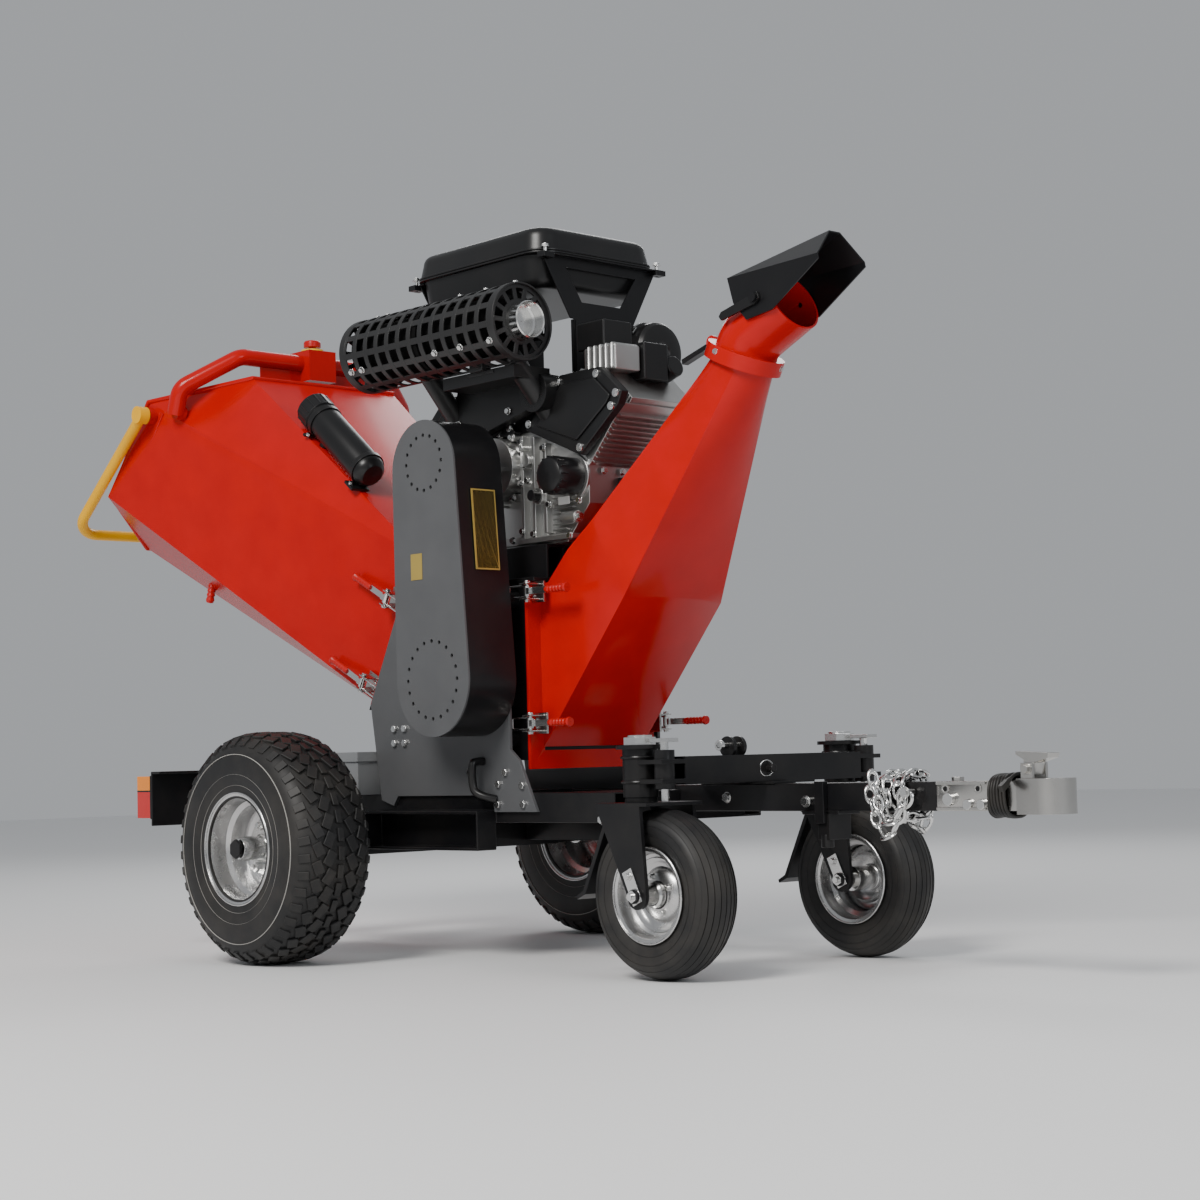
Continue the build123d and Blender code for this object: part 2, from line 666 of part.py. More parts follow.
with BuildPart() as hopper_hoop:
    foot = (-555, 1205)
    foot_y = side_half(*foot) + 16
    pipe([(foot[0], -foot_y, foot[1]), (-535, -foot_y, 1262), (-462, -205, 1335), (-462, 205, 1335),
          (-535, foot_y, 1262), (foot[0], foot_y, foot[1])], 19, 40)
    for side in (-1, 1):
        inner = side_half(*foot) - 6
        across(foot[0], foot[1] + 4, 16, *sorted((side * inner, side * foot_y)))
    block((-464, -460), (-150, 150), (1290, 1322))
    add(hopper.part, mode=Mode.SUBTRACT)
finish(hopper_hoop, "hopper_hoop")

with BuildPart() as switch_box:
    block((-505, -425), (-38, 38), (1292, 1364))
    rod((-465, 0, 1364), (-465, 0, 1371), 26)
    rod((-465, 0, 1352), (-465, 0, 1371), 8 + running_fit, mode=Mode.SUBTRACT)
    add(hopper_hoop.part, mode=Mode.SUBTRACT)
finish(switch_box, "switch_box")
with BuildPart() as stop_button:
    rod((-465, 0, 1358), (-465, 0, 1380), 8)
    rod((-465, 0, 1377), (-465, 0, 1393), 20)
    fillet(stop_button.edges().filter_by(GeomType.CIRCLE).sort_by(Axis.Z)[-1], 6)
finish(stop_button, "stop_button")

with BuildPart() as feed_bar:
    pipe([at(feed_pivot, -feed_bar_half), at(feed_bar_end, -feed_bar_half),
          at(feed_bar_end, feed_bar_half), at(feed_pivot, feed_bar_half)], feed_bar_radius, 60)
    for side in (-1, 1):
        across(*feed_pivot, 20, *sorted((side * (feed_bar_half - 10), side * (feed_bar_half + 15))))
        across(*feed_pivot, 6, *sorted((side * (boss_root - 1), side * feed_bar_half)))
finish(feed_bar, "feed_bar")

# ---- document canister strapped above the roof panel
roof_run = Vector(flange_high[0] - mouth_roof[0], 0, flange_high[1] - mouth_roof[1]).normalized()
roof_up = Vector(-roof_run.Z, 0, roof_run.X)
canister_y = -165.0
canister_start = Vector(mouth_roof[0] + 150, canister_y, mouth_roof[1] - 122.6) + roof_up * 46


def along_roof(distance, lift=0.0):
    return tuple(canister_start + roof_run * distance + roof_up * lift)


with BuildPart() as manual_canister:
    rod(along_roof(20), along_roof(280), 37)
    rod(along_roof(0), along_roof(46), 42)
    for distance in (90, 220):
        rod(along_roof(distance, -36), along_roof(distance, -50), 11)
    add(hopper.part, mode=Mode.SUBTRACT)
finish(manual_canister, "manual_canister")

# ---- discharge chute: duct from the chamber up to the round neck
swing_axis = Vector(sin(radians(neck_tilt)), 0, cos(radians(neck_tilt)))
duct = [(shell_front, chute_low), (712, 700), (630, 860), (560, 810), (500, 750),
        (shell_front, chute_high)]
neck_start = -20.0
neck_end = 8.0


def on_neck(distance, forward=0.0, y=0.0):
    # a point along the swivel axis, measured from the middle of the neck
    sideways = Vector(swing_axis.Z, 0, -swing_axis.X)
    return tuple(Vector(neck[0], y, neck[1]) + swing_axis * distance + sideways * forward)


neck_plane = Plane(origin=on_neck(neck_start), x_dir=(0, 1, 0), z_dir=swing_axis)
mouth_line = Vector(630 - 712, 0, 860 - 700)
duct_end = Plane(origin=((712 + 630) / 2, 0, (700 + 860) / 2), x_dir=(0, 1, 0),
                 z_dir=Vector(mouth_line.Z, 0, -mouth_line.X))
with BuildPart() as chute:
    slab(duct, -chute_half, chute_half)
    for grow, mode in ((0, Mode.ADD), (-chute_sheet, Mode.SUBTRACT)):
        with BuildSketch(duct_end) as low_section:
            Rectangle(2 * (chute_half + grow), mouth_line.length + 2 * grow)
        with BuildSketch(neck_plane) as high_section:
            Circle(neck_radius + grow)
        loft([low_section.sketch, high_section.sketch], mode=mode)
    rod(on_neck(neck_start), on_neck(neck_end), neck_radius)
    rod(on_neck(neck_start), on_neck(neck_end + 1), neck_radius - chute_sheet, mode=Mode.SUBTRACT)
    edge = mouth_line.normalized() * chute_sheet
    inner_duct = [(shell_front - 1, chute_low + 6), (712 + edge.X, 700 + edge.Z),
                  (630 - edge.X, 860 - edge.Z), (563, 804), (503, 745), (shell_front - 1, chute_high - 5)]
    slab(inner_duct, chute_sheet - chute_half, chute_half - chute_sheet, mode=Mode.SUBTRACT)
    # flange against the chamber shell
    block((shell_front, shell_front + 8), (-170, 170), (380, shell_top))
    block((shell_front - 1, shell_front + 9), (chute_sheet - chute_half, chute_half - chute_sheet),
          (chute_low + 4, chute_high - 6), mode=Mode.SUBTRACT)
finish(chute, "discharge_chute")


# ---- swivelling elbow: clamp ring, bend and spout
bend_start = 15.0
start_angle = radians(neck_tilt)
end_angle = radians(neck_tilt + elbow_turn)
spout_dir = Vector(sin(end_angle), 0, cos(end_angle))
bend_centre = Vector(*on_neck(bend_start, elbow_bend))
spout_root = bend_centre + Vector(-cos(end_angle), 0, sin(end_angle)) * elbow_bend
spout_tip = spout_root + spout_dir * elbow_run
elbow_wall = 4.0
with BuildPart() as elbow:
    rod(on_neck(-14), on_neck(bend_start), ring_radius)
    for radius, mode in ((elbow_radius, Mode.ADD), (elbow_radius - elbow_wall, Mode.SUBTRACT)):
        with BuildSketch(Plane(origin=on_neck(bend_start), x_dir=(0, 1, 0), z_dir=swing_axis)) as section:
            Circle(radius)
        revolve(section.sketch, axis=Axis(bend_centre, (0, 1, 0)), revolution_arc=elbow_turn, mode=mode)
        rod(tuple(spout_root), tuple(spout_tip), radius, mode=mode)
        if mode == Mode.ADD:
            for side in (-1, 1):
                across(*hood_pivot, 12, *sorted((side * 50, side * (hood_plate_y - free_gap))))
    rod(on_neck(-15), on_neck(neck_end + 1), neck_radius + 0.5, mode=Mode.SUBTRACT)
    rod(on_neck(neck_end + 1), on_neck(bend_start), elbow_radius - elbow_wall, mode=Mode.SUBTRACT)
    for side in (-1, 1):
        across(*hood_pivot, 5 + running_fit, *sorted((side * 49, side * 70)), mode=Mode.SUBTRACT)
    # lugs for the clamp lever at the back of the ring
    for y in (-13, 13):
        with BuildSketch(Plane.XZ.offset(y + 4)) as lug:
            with Locations((on_neck(5, -ring_radius - 5)[0], on_neck(5, -ring_radius - 5)[2])):
                Circle(13)
        extrude(lug.sketch, amount=-8)
    across(on_neck(5, -ring_radius - 8)[0], on_neck(5, -ring_radius - 8)[2], 4 + running_fit, -30, 30,
           mode=Mode.SUBTRACT)
finish(elbow, "elbow")

lever_pivot = (on_neck(5, -ring_radius - 8)[0], on_neck(5, -ring_radius - 8)[2])
with BuildPart() as elbow_lever:
    across(*lever_pivot, 4, -19, 19)
    across(*lever_pivot, 7, -8.5, 8.5)
    slab([(lever_pivot[0], lever_pivot[1] + 5), (lever_pivot[0], lever_pivot[1] - 5), (766, 1160),
          (764, 1170)], -8, 8)
    add(elbow.part, mode=Mode.SUBTRACT)
finish(elbow_lever, "elbow_lever")

# ---- hood over the spout
hood_outer = hood_plate_y + hood_sheet
hood_side = [(949, 1292), (1175, 1300), (1177, 1290), (1060, 1215), (995, 1206), (963, 1242)]
hood_ridge = (1161, 1351)
ridge_half = 15.0
with BuildPart() as hood:
    hood_core = (1060, 0, 1270)
    panel([at(hood_side[0], -hood_outer), at(hood_side[0], hood_outer), at(hood_ridge, ridge_half),
           at(hood_ridge, -ridge_half)], hood_sheet, hood_core)
    for side in (-1, 1):
        panel([at(hood_side[0], side * hood_outer), at(hood_side[1], side * hood_outer),
               at(hood_ridge, side * ridge_half)], hood_sheet, hood_core)
        slab(hood_side, *sorted((side * hood_plate_y, side * hood_outer)))
        across(*hood_pivot, 5, *sorted((side * 55, side * (hood_outer + 12))))
        across(*hood_pivot, 9, *sorted((side * (hood_outer + 7), side * (hood_outer + 13))))
finish(hood, "hood")
with BuildPart() as hood_lever:
    lever_y = (-hood_outer - 6.5, -hood_outer - 0.5)
    slab([(1030, 1253), (1034, 1240), (1022, 1231), (936, 1213), (930, 1221), (936, 1229)], *lever_y)
    across(*hood_pivot, 5 + running_fit, lever_y[0] - 1, lever_y[1] + 1, mode=Mode.SUBTRACT)
finish(hood_lever, "hood_lever")

# ---- toggle latches of the chute and of the hopper
chute_latch = (495.0, 187.0)
chute_latch_z = (470.0, 730.0)
hopper_latch_s = (40.0, 235.0)
hopper_latch_off = 34.0
hopper_latch_y = 202.0
for side, hand in sides:
    with BuildPart() as levers:
        x, y = chute_latch
        for z in chute_latch_z:
            rod((x, side * y, z - 12), (x, side * y, z + 12), 7)
            block((x, x + 60), sorted((side * (y - 4), side * (y + 4))), (z - 9, z + 9))
            rod((x + 56, side * y, z), (x + 118, side * y, z), 10)
    finish(levers, f"chute_latch_{hand}")
    with BuildPart() as levers:
        for s in hopper_latch_s:
            low = at(on_flange(s - 12, hopper_latch_off), side * hopper_latch_y)
            high = at(on_flange(s + 12, hopper_latch_off), side * hopper_latch_y)
            root = at(on_flange(s, hopper_latch_off), side * hopper_latch_y)
            elbow_point = at(on_flange(s, hopper_latch_off + 60), side * hopper_latch_y)
            tip = at(on_flange(s, hopper_latch_off + 118), side * hopper_latch_y)
            rod(low, high, 7)
            rod(root, elbow_point, 6)
            rod(elbow_point, tip, 10)
    finish(levers, f"hopper_latch_{hand}")

with BuildPart() as latch_bodies:
    for side in (-1, 1):
        x, y = chute_latch
        for z in chute_latch_z:
            for end in (-1, 1):
                block((x - 17, x + 8), sorted((side * 171, side * (y + 8))),
                      sorted((z + end * 12.5, z + end * 17)))
            block((shell_front + 8, x - 10), sorted((side * 150, side * (y + 2))), (z - 17, z + 17))
        for s in hopper_latch_s:
            inner = side_half(*on_flange(s, hopper_latch_off))
            for offset in (-17.0, 12.5):
                ear_root = at(on_flange(s + offset, hopper_latch_off), side * (inner + hopper_latch_y + 9) / 2)
                ear_plane = Plane(origin=ear_root, x_dir=(0, 1, 0), z_dir=(along_flange[0], 0, along_flange[1]))
                with BuildSketch(ear_plane) as ear_shape:
                    Rectangle(hopper_latch_y + 9 - inner, 20)
                extrude(ear_shape.sketch, amount=4.5)
    add(chute.part, mode=Mode.SUBTRACT)
    add(hopper.part, mode=Mode.SUBTRACT)
finish(latch_bodies, "latch_bodies")

# ---- ball coupler, its latch lever, the chains and the wound lighting cable
socket_bottom = 286.0
socket_depth = 34.0
lever_axis = (1562.0, 362.0)
with BuildPart() as coupler:
    square_tube((bar_front, 1545), (-bar_size / 2, bar_size / 2), (bar_bottom, bar_top), 0)
    with BuildSketch(Plane.XY.offset(socket_bottom)) as head:
        with Locations((coupler_x, 0)):
            Circle(coupler_head_radius)
        with Locations((1545 + 5, 0)):
            Rectangle(10, bar_size + 8)
        make_hull()
    extrude(head.sketch, amount=bar_top + 3 - socket_bottom)
    rod((coupler_x, 0, socket_bottom), (coupler_x, 0, socket_bottom + socket_depth), socket_radius,
        mode=Mode.SUBTRACT)
    for y in (-19, 19):
        block((1550, 1574), (y - 3, y + 3), (bar_top, 372))
    across(*lever_axis, 4 + running_fit, -30, 30, mode=Mode.SUBTRACT)
finish(coupler, "coupler")
with BuildPart() as coupler_lever:
    across(*lever_axis, 4, -22, 22)
    slab([(1552, 352), (1570, 352), (1574, 372), (1602, 380), (1604, 388), (1536, 392), (1536, 386),
          (1552, 378)], -15.5, 15.5)
finish(coupler_lever, "coupler_lever")

chain_radius = 5.0
with BuildPart() as safety_chains:
    half = bar_size / 2 + chain_radius + free_gap
    centre_z = bar_bottom + bar_size / 2
    for index in range(6):
        x = 1255 + index * 12
        with BuildSketch(Plane.YZ.offset(x - chain_radius)) as loop_shape:
            with Locations((0, centre_z)):
                RectangleRounded(2 * half + 2 * chain_radius, 2 * half + 2 * chain_radius, 12)
                Rectangle(2 * half - 2 * chain_radius, 2 * half - 2 * chain_radius, mode=Mode.SUBTRACT)
        extrude(loop_shape.sketch, amount=2 * chain_radius)
finish(safety_chains, "safety_chains")

cable_radius = 3.5
coil_range = (1482.0, 1542.0)
with BuildPart() as light_cable:
    with BuildSketch(Plane.YZ.offset(coil_range[0])) as coil_shape:
        with Locations((0, centre_z)):
            RectangleRounded(bar_size + 32, bar_size + 32, 14)
            Rectangle(bar_size + 2 * free_gap, bar_size + 2 * free_gap, mode=Mode.SUBTRACT)
    extrude(coil_shape.sketch, amount=coil_range[1] - coil_range[0])
finish(light_cable, "light_cable")

# ---- bolts: hexagon heads on the side plates and the hitch bolts
bolt_places = [(334, 377), (442, 375), (420, 352), (492, 349), (418, 312), (494, 312),
               (90, 470), (124, 470), (90, 440), (124, 440)]
with BuildPart() as fasteners:
    for side in (-1, 1):
        face = side * (rail_outer + plate_thickness)
        with BuildSketch(Plane(origin=(0, face, 0), x_dir=(side * -1, 0, 0), z_dir=(0, side, 0))) as heads:
            with Locations(*[(x * -side, z) for x, z in bolt_places]):
                RegularPolygon(8, 6)
        extrude(heads.sketch, amount=6)
    for end in (-1, 1):
        across(1402, 312, 11, *sorted((end * bar_size / 2, end * (bar_size / 2 + 9))))
        for x in (1441, 1470):
            across(x, 303, 9, *sorted((end * bar_size / 2, end * (bar_size / 2 + 6))))
    # hitch pin between the two lugs on the front beam
    across(beam_x, beam_top + 18, 6, -99, -79)
finish(fasteners, "fasteners")
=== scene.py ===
import bpy
import bmesh
import json
from math import cos, pi, radians, sin
from mathutils import Matrix, Vector


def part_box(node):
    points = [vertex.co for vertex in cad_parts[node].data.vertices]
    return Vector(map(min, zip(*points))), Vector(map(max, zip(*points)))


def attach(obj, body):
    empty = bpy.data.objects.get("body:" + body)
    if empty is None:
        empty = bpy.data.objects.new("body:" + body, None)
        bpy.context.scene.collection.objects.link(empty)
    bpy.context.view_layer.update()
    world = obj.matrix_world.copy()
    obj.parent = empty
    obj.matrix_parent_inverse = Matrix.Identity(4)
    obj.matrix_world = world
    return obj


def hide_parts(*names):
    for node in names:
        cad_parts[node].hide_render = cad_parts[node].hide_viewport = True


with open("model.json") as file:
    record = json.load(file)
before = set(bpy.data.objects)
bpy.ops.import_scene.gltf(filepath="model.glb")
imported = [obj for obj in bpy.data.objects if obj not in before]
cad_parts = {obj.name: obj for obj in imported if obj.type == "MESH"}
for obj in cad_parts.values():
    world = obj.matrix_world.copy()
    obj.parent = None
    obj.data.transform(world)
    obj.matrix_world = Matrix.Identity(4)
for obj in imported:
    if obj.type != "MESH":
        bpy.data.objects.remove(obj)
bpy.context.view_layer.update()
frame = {"nodes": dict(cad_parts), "record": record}

bodyNodes = frame["record"]["behaviour"]["bodies"]
slotOf = {entry["node"]: entry["material_slot"] for entry in frame["record"]["subparts"]}
low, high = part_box("rear_tyre_right")
axleX = (low[0] + high[0]) / 2        # every x below is measured forwards from the rear axle


def at(x, y, z):
    return Vector((axleX + x, y, z))


def bodyOf(node):
    return next(body for body, nodes in bodyNodes.items() if node in nodes)


def middleOf(node):
    lowest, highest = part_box(node)
    return (Vector(lowest) + Vector(highest)) / 2


# camera and light
camera = dict(place=(3.910, -3.172, 0.400), turn=47.036, pitch=3.900, roll=-1.504, lens=69.15)


def makeCamera():
    turn, pitch, roll = (radians(camera[key]) for key in ("turn", "pitch", "roll"))
    ahead = Vector((-sin(turn) * cos(pitch), cos(turn) * cos(pitch), sin(pitch)))
    right = Vector((cos(turn), sin(turn), 0))
    up = right.cross(ahead)
    rolledRight = right * cos(roll) + up * sin(roll)
    rolledUp = up * cos(roll) - right * sin(roll)
    data = bpy.data.cameras.new("photoCamera")
    data.lens = camera["lens"]
    eye = bpy.data.objects.new("photoCamera", data)
    bpy.context.scene.collection.objects.link(eye)
    columns = Matrix((rolledRight, rolledUp, -ahead)).transposed()
    eye.matrix_world = Matrix.Translation(at(*camera["place"])) @ columns.to_4x4()
    bpy.context.scene.camera = eye


def makeLight(name, place, target, size, power, tint=(1, 1, 1)):
    data = bpy.data.lights.new(name, "AREA")
    data.shape = "DISK"
    data.size = size
    data.energy = power
    data.color = tint
    lamp = bpy.data.objects.new(name, data)
    bpy.context.scene.collection.objects.link(lamp)
    lamp.location = place
    lamp.rotation_euler = (Vector(target) - Vector(place)).to_track_quat("-Z", "Y").to_euler()


def makeStudio():
    floorMesh = bmesh.new()
    bmesh.ops.create_grid(floorMesh, x_segments=1, y_segments=1, size=14)
    mesh = bpy.data.meshes.new("studioFloor")
    floorMesh.to_mesh(mesh)
    floorMesh.free()
    floor = bpy.data.objects.new("studioFloor", mesh)
    bpy.context.scene.collection.objects.link(floor)
    paint = bpy.data.materials.new("paleFloor")
    paint.use_nodes = True
    shader = paint.node_tree.nodes["Principled BSDF"]
    shader.inputs["Base Color"].default_value = (0.86, 0.86, 0.86, 1)
    shader.inputs["Roughness"].default_value = 0.65
    mesh.materials.append(paint)
    world = bpy.data.worlds.new("softSky")
    world.use_nodes = True
    world.node_tree.nodes["Background"].inputs["Color"].default_value = (0.93, 0.96, 1.0, 1)
    world.node_tree.nodes["Background"].inputs["Strength"].default_value = 0.42
    bpy.context.scene.world = world
    makeLight("keySoftbox", (1.5, -4.5, 4.2), (0, 0, 0.7), 2.2, 300, (1, 0.98, 0.95))
    makeLight("fillSoftbox", (4.6, -0.4, 2.2), (0, 0, 0.7), 2.0, 34, (0.95, 0.98, 1))
    makeLight("rimSoftbox", (-2.8, 3.2, 3.6), (0, 0, 0.8), 2.6, 60)


makeCamera()
makeStudio()
print("stage: camera and studio")


# shared shader groups
def newGroup(name, inputs, outputs):
    group = bpy.data.node_groups.new(name, "ShaderNodeTree")
    for socketName, kind, value in inputs:
        socket = group.interface.new_socket(name=socketName, in_out="INPUT", socket_type=kind)
        socket.default_value = value
    for socketName, kind in outputs:
        group.interface.new_socket(name=socketName, in_out="OUTPUT", socket_type=kind)
    entry = group.nodes.new("NodeGroupInput")
    leave = group.nodes.new("NodeGroupOutput")
    return group, entry, leave


def makeDustGroup():
    # yard dust: thicker near the ground, broken up by noise
    group, entry, leave = newGroup(
        "yardDust",
        [("Colour", "NodeSocketColor", (0.5, 0.5, 0.5, 1)), ("Dust", "NodeSocketColor", (0.35, 0.3, 0.24, 1)),
         ("Amount", "NodeSocketFloat", 0.2), ("Scale", "NodeSocketFloat", 9.0)],
        [("Colour", "NodeSocketColor"), ("Mask", "NodeSocketFloat")])
    nodes, links = group.nodes, group.links
    place = nodes.new("ShaderNodeTexCoord")
    noise = nodes.new("ShaderNodeTexNoise")
    noise.inputs["Detail"].default_value = 8
    noise.inputs["Roughness"].default_value = 0.62
    links.new(place.outputs["Object"], noise.inputs["Vector"])
    links.new(entry.outputs["Scale"], noise.inputs["Scale"])
    patches = nodes.new("ShaderNodeMapRange")
    patches.inputs["From Min"].default_value = 0.42
    patches.inputs["From Max"].default_value = 0.72
    links.new(noise.outputs["Fac"], patches.inputs["Value"])
    split = nodes.new("ShaderNodeSeparateXYZ")
    links.new(place.outputs["Object"], split.inputs["Vector"])
    height = nodes.new("ShaderNodeMapRange")
    height.inputs["From Min"].default_value = 1.1
    height.inputs["From Max"].default_value = 0.0
    height.inputs["To Min"].default_value = 0.25
    links.new(split.outputs["Z"], height.inputs["Value"])
    both = nodes.new("ShaderNodeMath")
    both.operation = "MULTIPLY"
    links.new(patches.outputs["Result"], both.inputs[0])
    links.new(height.outputs["Result"], both.inputs[1])
    scaled = nodes.new("ShaderNodeMath")
    scaled.operation = "MULTIPLY"
    scaled.use_clamp = True
    links.new(both.outputs["Value"], scaled.inputs[0])
    links.new(entry.outputs["Amount"], scaled.inputs[1])
    mix = nodes.new("ShaderNodeMix")
    mix.data_type = "RGBA"
    links.new(scaled.outputs["Value"], mix.inputs["Factor"])
    links.new(entry.outputs["Colour"], mix.inputs["A"])
    links.new(entry.outputs["Dust"], mix.inputs["B"])
    links.new(mix.outputs["Result"], leave.inputs["Colour"])
    links.new(scaled.outputs["Value"], leave.inputs["Mask"])
    return group


def makeGrainGroup():
    # fine surface texture: orange peel, cast skin, moulded grain, by scale and stretch
    group, entry, leave = newGroup(
        "surfaceGrain",
        [("Scale", "NodeSocketFloat", 300.0), ("Coarse", "NodeSocketFloat", 0.3),
         ("Stretch", "NodeSocketVector", (1, 1, 1))],
        [("Height", "NodeSocketFloat"), ("Shade", "NodeSocketFloat")])
    nodes, links = group.nodes, group.links
    place = nodes.new("ShaderNodeTexCoord")
    stretch = nodes.new("ShaderNodeVectorMath")
    stretch.operation = "MULTIPLY"
    links.new(place.outputs["Object"], stretch.inputs[0])
    links.new(entry.outputs["Stretch"], stretch.inputs[1])
    fine = nodes.new("ShaderNodeTexNoise")
    fine.inputs["Detail"].default_value = 3
    links.new(stretch.outputs["Vector"], fine.inputs["Vector"])
    links.new(entry.outputs["Scale"], fine.inputs["Scale"])
    broad = nodes.new("ShaderNodeTexNoise")
    broad.inputs["Scale"].default_value = 14
    broad.inputs["Detail"].default_value = 6
    links.new(stretch.outputs["Vector"], broad.inputs["Vector"])
    mix = nodes.new("ShaderNodeMix")
    links.new(entry.outputs["Coarse"], mix.inputs["Factor"])
    links.new(fine.outputs["Fac"], mix.inputs["A"])
    links.new(broad.outputs["Fac"], mix.inputs["B"])
    links.new(mix.outputs["Result"], leave.inputs["Height"])
    links.new(broad.outputs["Fac"], leave.inputs["Shade"])
    return group


dustGroup = makeDustGroup()
grainGroup = makeGrainGroup()

# colour, roughness, metallic, coat, gloss, grain scale, grain height in mm, amount of dust
finishes = dict(
    redPaint=((0.5, 0.0012, 0.0006), 0.28, 0, 0.12, 0.22, 260, 0.03, 0.02),
    yellowPaint=((0.95, 0.46, 0.0), 0.34, 0, 0.1, 0.25, 260, 0.05, 0.08),
    blackPaint=((0.007, 0.007, 0.008), 0.34, 0, 0, 0.3, 420, 0.06, 0.03),
    charcoalPaint=((0.085, 0.087, 0.091), 0.42, 0, 0, 0.35, 420, 0.06, 0.03),
    blackPlastic=((0.007, 0.007, 0.0075), 0.36, 0, 0, 0.4, 900, 0.08, 0.03),
    exhaustBlack=((0.014, 0.014, 0.0145), 0.46, 0, 0, 0.45, 700, 0.1, 0.04),
    # near-black, matte and dust-free: the can's own black plus painted shade inside the slotted shield
    sootAndShadeBlack=((0.003, 0.003, 0.003), 0.85, 0, 0, 0.1, 700, 0.1, 0.0),
    castAluminium=((0.5, 0.5, 0.49), 0.38, 0.95, 0, 0.5, 480, 0.22, 0.12),
    zincSteel=((0.52, 0.51, 0.49), 0.27, 1.0, 0, 0.5, 120, 0.03, 0.08),
    machinedSteel=((0.5, 0.5, 0.5), 0.3, 1.0, 0, 0.5, 500, 0.02, 0.1),
    brightSteel=((0.72, 0.72, 0.71), 0.22, 1.0, 0, 0.5, 200, 0.02, 0.06),
    greyPaint=((0.3, 0.31, 0.32), 0.4, 0.3, 0, 0.5, 300, 0.05, 0.12),
    silverRim=((0.62, 0.62, 0.62), 0.27, 0.95, 0, 0.5, 300, 0.05, 0.18),
    tyreRubber=((0.011, 0.011, 0.0115), 0.58, 0, 0, 0.4, 260, 0.15, 0.08),
    beltRubber=((0.008, 0.008, 0.008), 0.5, 0, 0, 0.4, 600, 0.08, 0.1),
    lampRed=((0.55, 0.01, 0.008), 0.16, 0, 0.6, 0.5, 90, 0.02, 0.05),
    lampAmber=((0.85, 0.25, 0.01), 0.16, 0, 0.6, 0.5, 90, 0.02, 0.05),
    redGrip=((0.5, 0.003, 0.002), 0.34, 0, 0, 0.4, 700, 0.05, 0.05),
    yellowPlastic=((0.86, 0.62, 0.02), 0.4, 0, 0, 0.5, 600, 0.04, 0.05),
    sidewallLine=((0.34, 0.33, 0.31), 0.7, 0, 0, 0.5, 500, 0.05, 0.2),
    goldPlate=((0.42, 0.3, 0.07), 0.42, 0.3, 0, 0.5, 500, 0.02, 0.05),
    whitePlate=((0.72, 0.72, 0.7), 0.4, 0, 0, 0.5, 300, 0.02, 0.05),
)
grainStretch = dict(machinedSteel=(0.2, 6, 1))


def makeFinish(name, look):
    material = bpy.data.materials.new(name)
    material.use_nodes = True
    nodes, links = material.node_tree.nodes, material.node_tree.links
    shader = nodes["Principled BSDF"]
    colour, roughness, metallic, coat, gloss, grainScale, height, dustAmount = look
    shader.inputs["Coat Weight"].default_value = coat
    shader.inputs["Coat Roughness"].default_value = 0.08
    shader.inputs["Specular IOR Level"].default_value = gloss
    shader.inputs["Metallic"].default_value = metallic
    grain = nodes.new("ShaderNodeGroup")
    grain.node_tree = grainGroup
    grain.inputs["Scale"].default_value = grainScale
    grain.inputs["Stretch"].default_value = grainStretch.get(name, (1, 1, 1))
    tone = nodes.new("ShaderNodeMix")
    tone.data_type = "RGBA"
    tone.inputs["A"].default_value = (*[part * 0.86 for part in colour], 1)
    tone.inputs["B"].default_value = (*[min(part * 1.14, 1) for part in colour], 1)
    links.new(grain.outputs["Shade"], tone.inputs["Factor"])
    dust = nodes.new("ShaderNodeGroup")
    dust.node_tree = dustGroup
    dust.inputs["Amount"].default_value = dustAmount
    links.new(tone.outputs["Result"], dust.inputs["Colour"])
    links.new(dust.outputs["Colour"], shader.inputs["Base Color"])
    rough = nodes.new("ShaderNodeMapRange")
    rough.inputs["To Min"].default_value = roughness * 0.9
    rough.inputs["To Max"].default_value = min(roughness + 0.35, 0.95)
    links.new(dust.outputs["Mask"], rough.inputs["Value"])
    links.new(rough.outputs["Result"], shader.inputs["Roughness"])
    bump = nodes.new("ShaderNodeBump")
    bump.inputs["Distance"].default_value = height / 1000
    bump.inputs["Strength"].default_value = 0.8
    links.new(grain.outputs["Height"], bump.inputs["Height"])
    links.new(bump.outputs["Normal"], shader.inputs["Normal"])
    return material


finish = {name: makeFinish(name, look) for name, look in finishes.items()}
slotFinish = dict(
    black_frame="blackPaint", charcoal_paint="charcoalPaint", red_paint="redPaint",
    yellow_paint="yellowPaint",
    cast_aluminium="castAluminium", black_plastic="blackPlastic", exhaust_black="exhaustBlack",
    zinc_steel="zincSteel", machined_steel="machinedSteel", belt_rubber="beltRubber",
    tyre_rubber="tyreRubber", silver_rim="silverRim", lamp_lens="lampRed", red_plastic="redGrip")
print("stage: finishes")


# making pieces
def softenEdges(thing, width, segments=2, angle=32):
    if width <= 0:
        return
    bevel = thing.modifiers.new("softEdges", "BEVEL")
    bevel.width = width
    bevel.segments = segments
    bevel.limit_method = "ANGLE"
    bevel.angle_limit = radians(angle)
    bevel.harden_normals = True


def piece(name, shape, look, body, edge=0.0, replaced=(), sharp=32):
    # shape is a finished bmesh in the frame's own place
    bmesh.ops.recalc_face_normals(shape, faces=shape.faces)
    mesh = bpy.data.meshes.new(name)
    shape.to_mesh(mesh)
    shape.free()
    for face in mesh.polygons:
        face.use_smooth = True
    mesh.set_sharp_from_angle(angle=radians(sharp))
    mesh.materials.append(finish[look])
    thing = bpy.data.objects.new(name, mesh)
    bpy.context.scene.collection.objects.link(thing)
    softenEdges(thing, edge)
    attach(thing, body)
    if replaced:
        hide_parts(*replaced)
    return thing


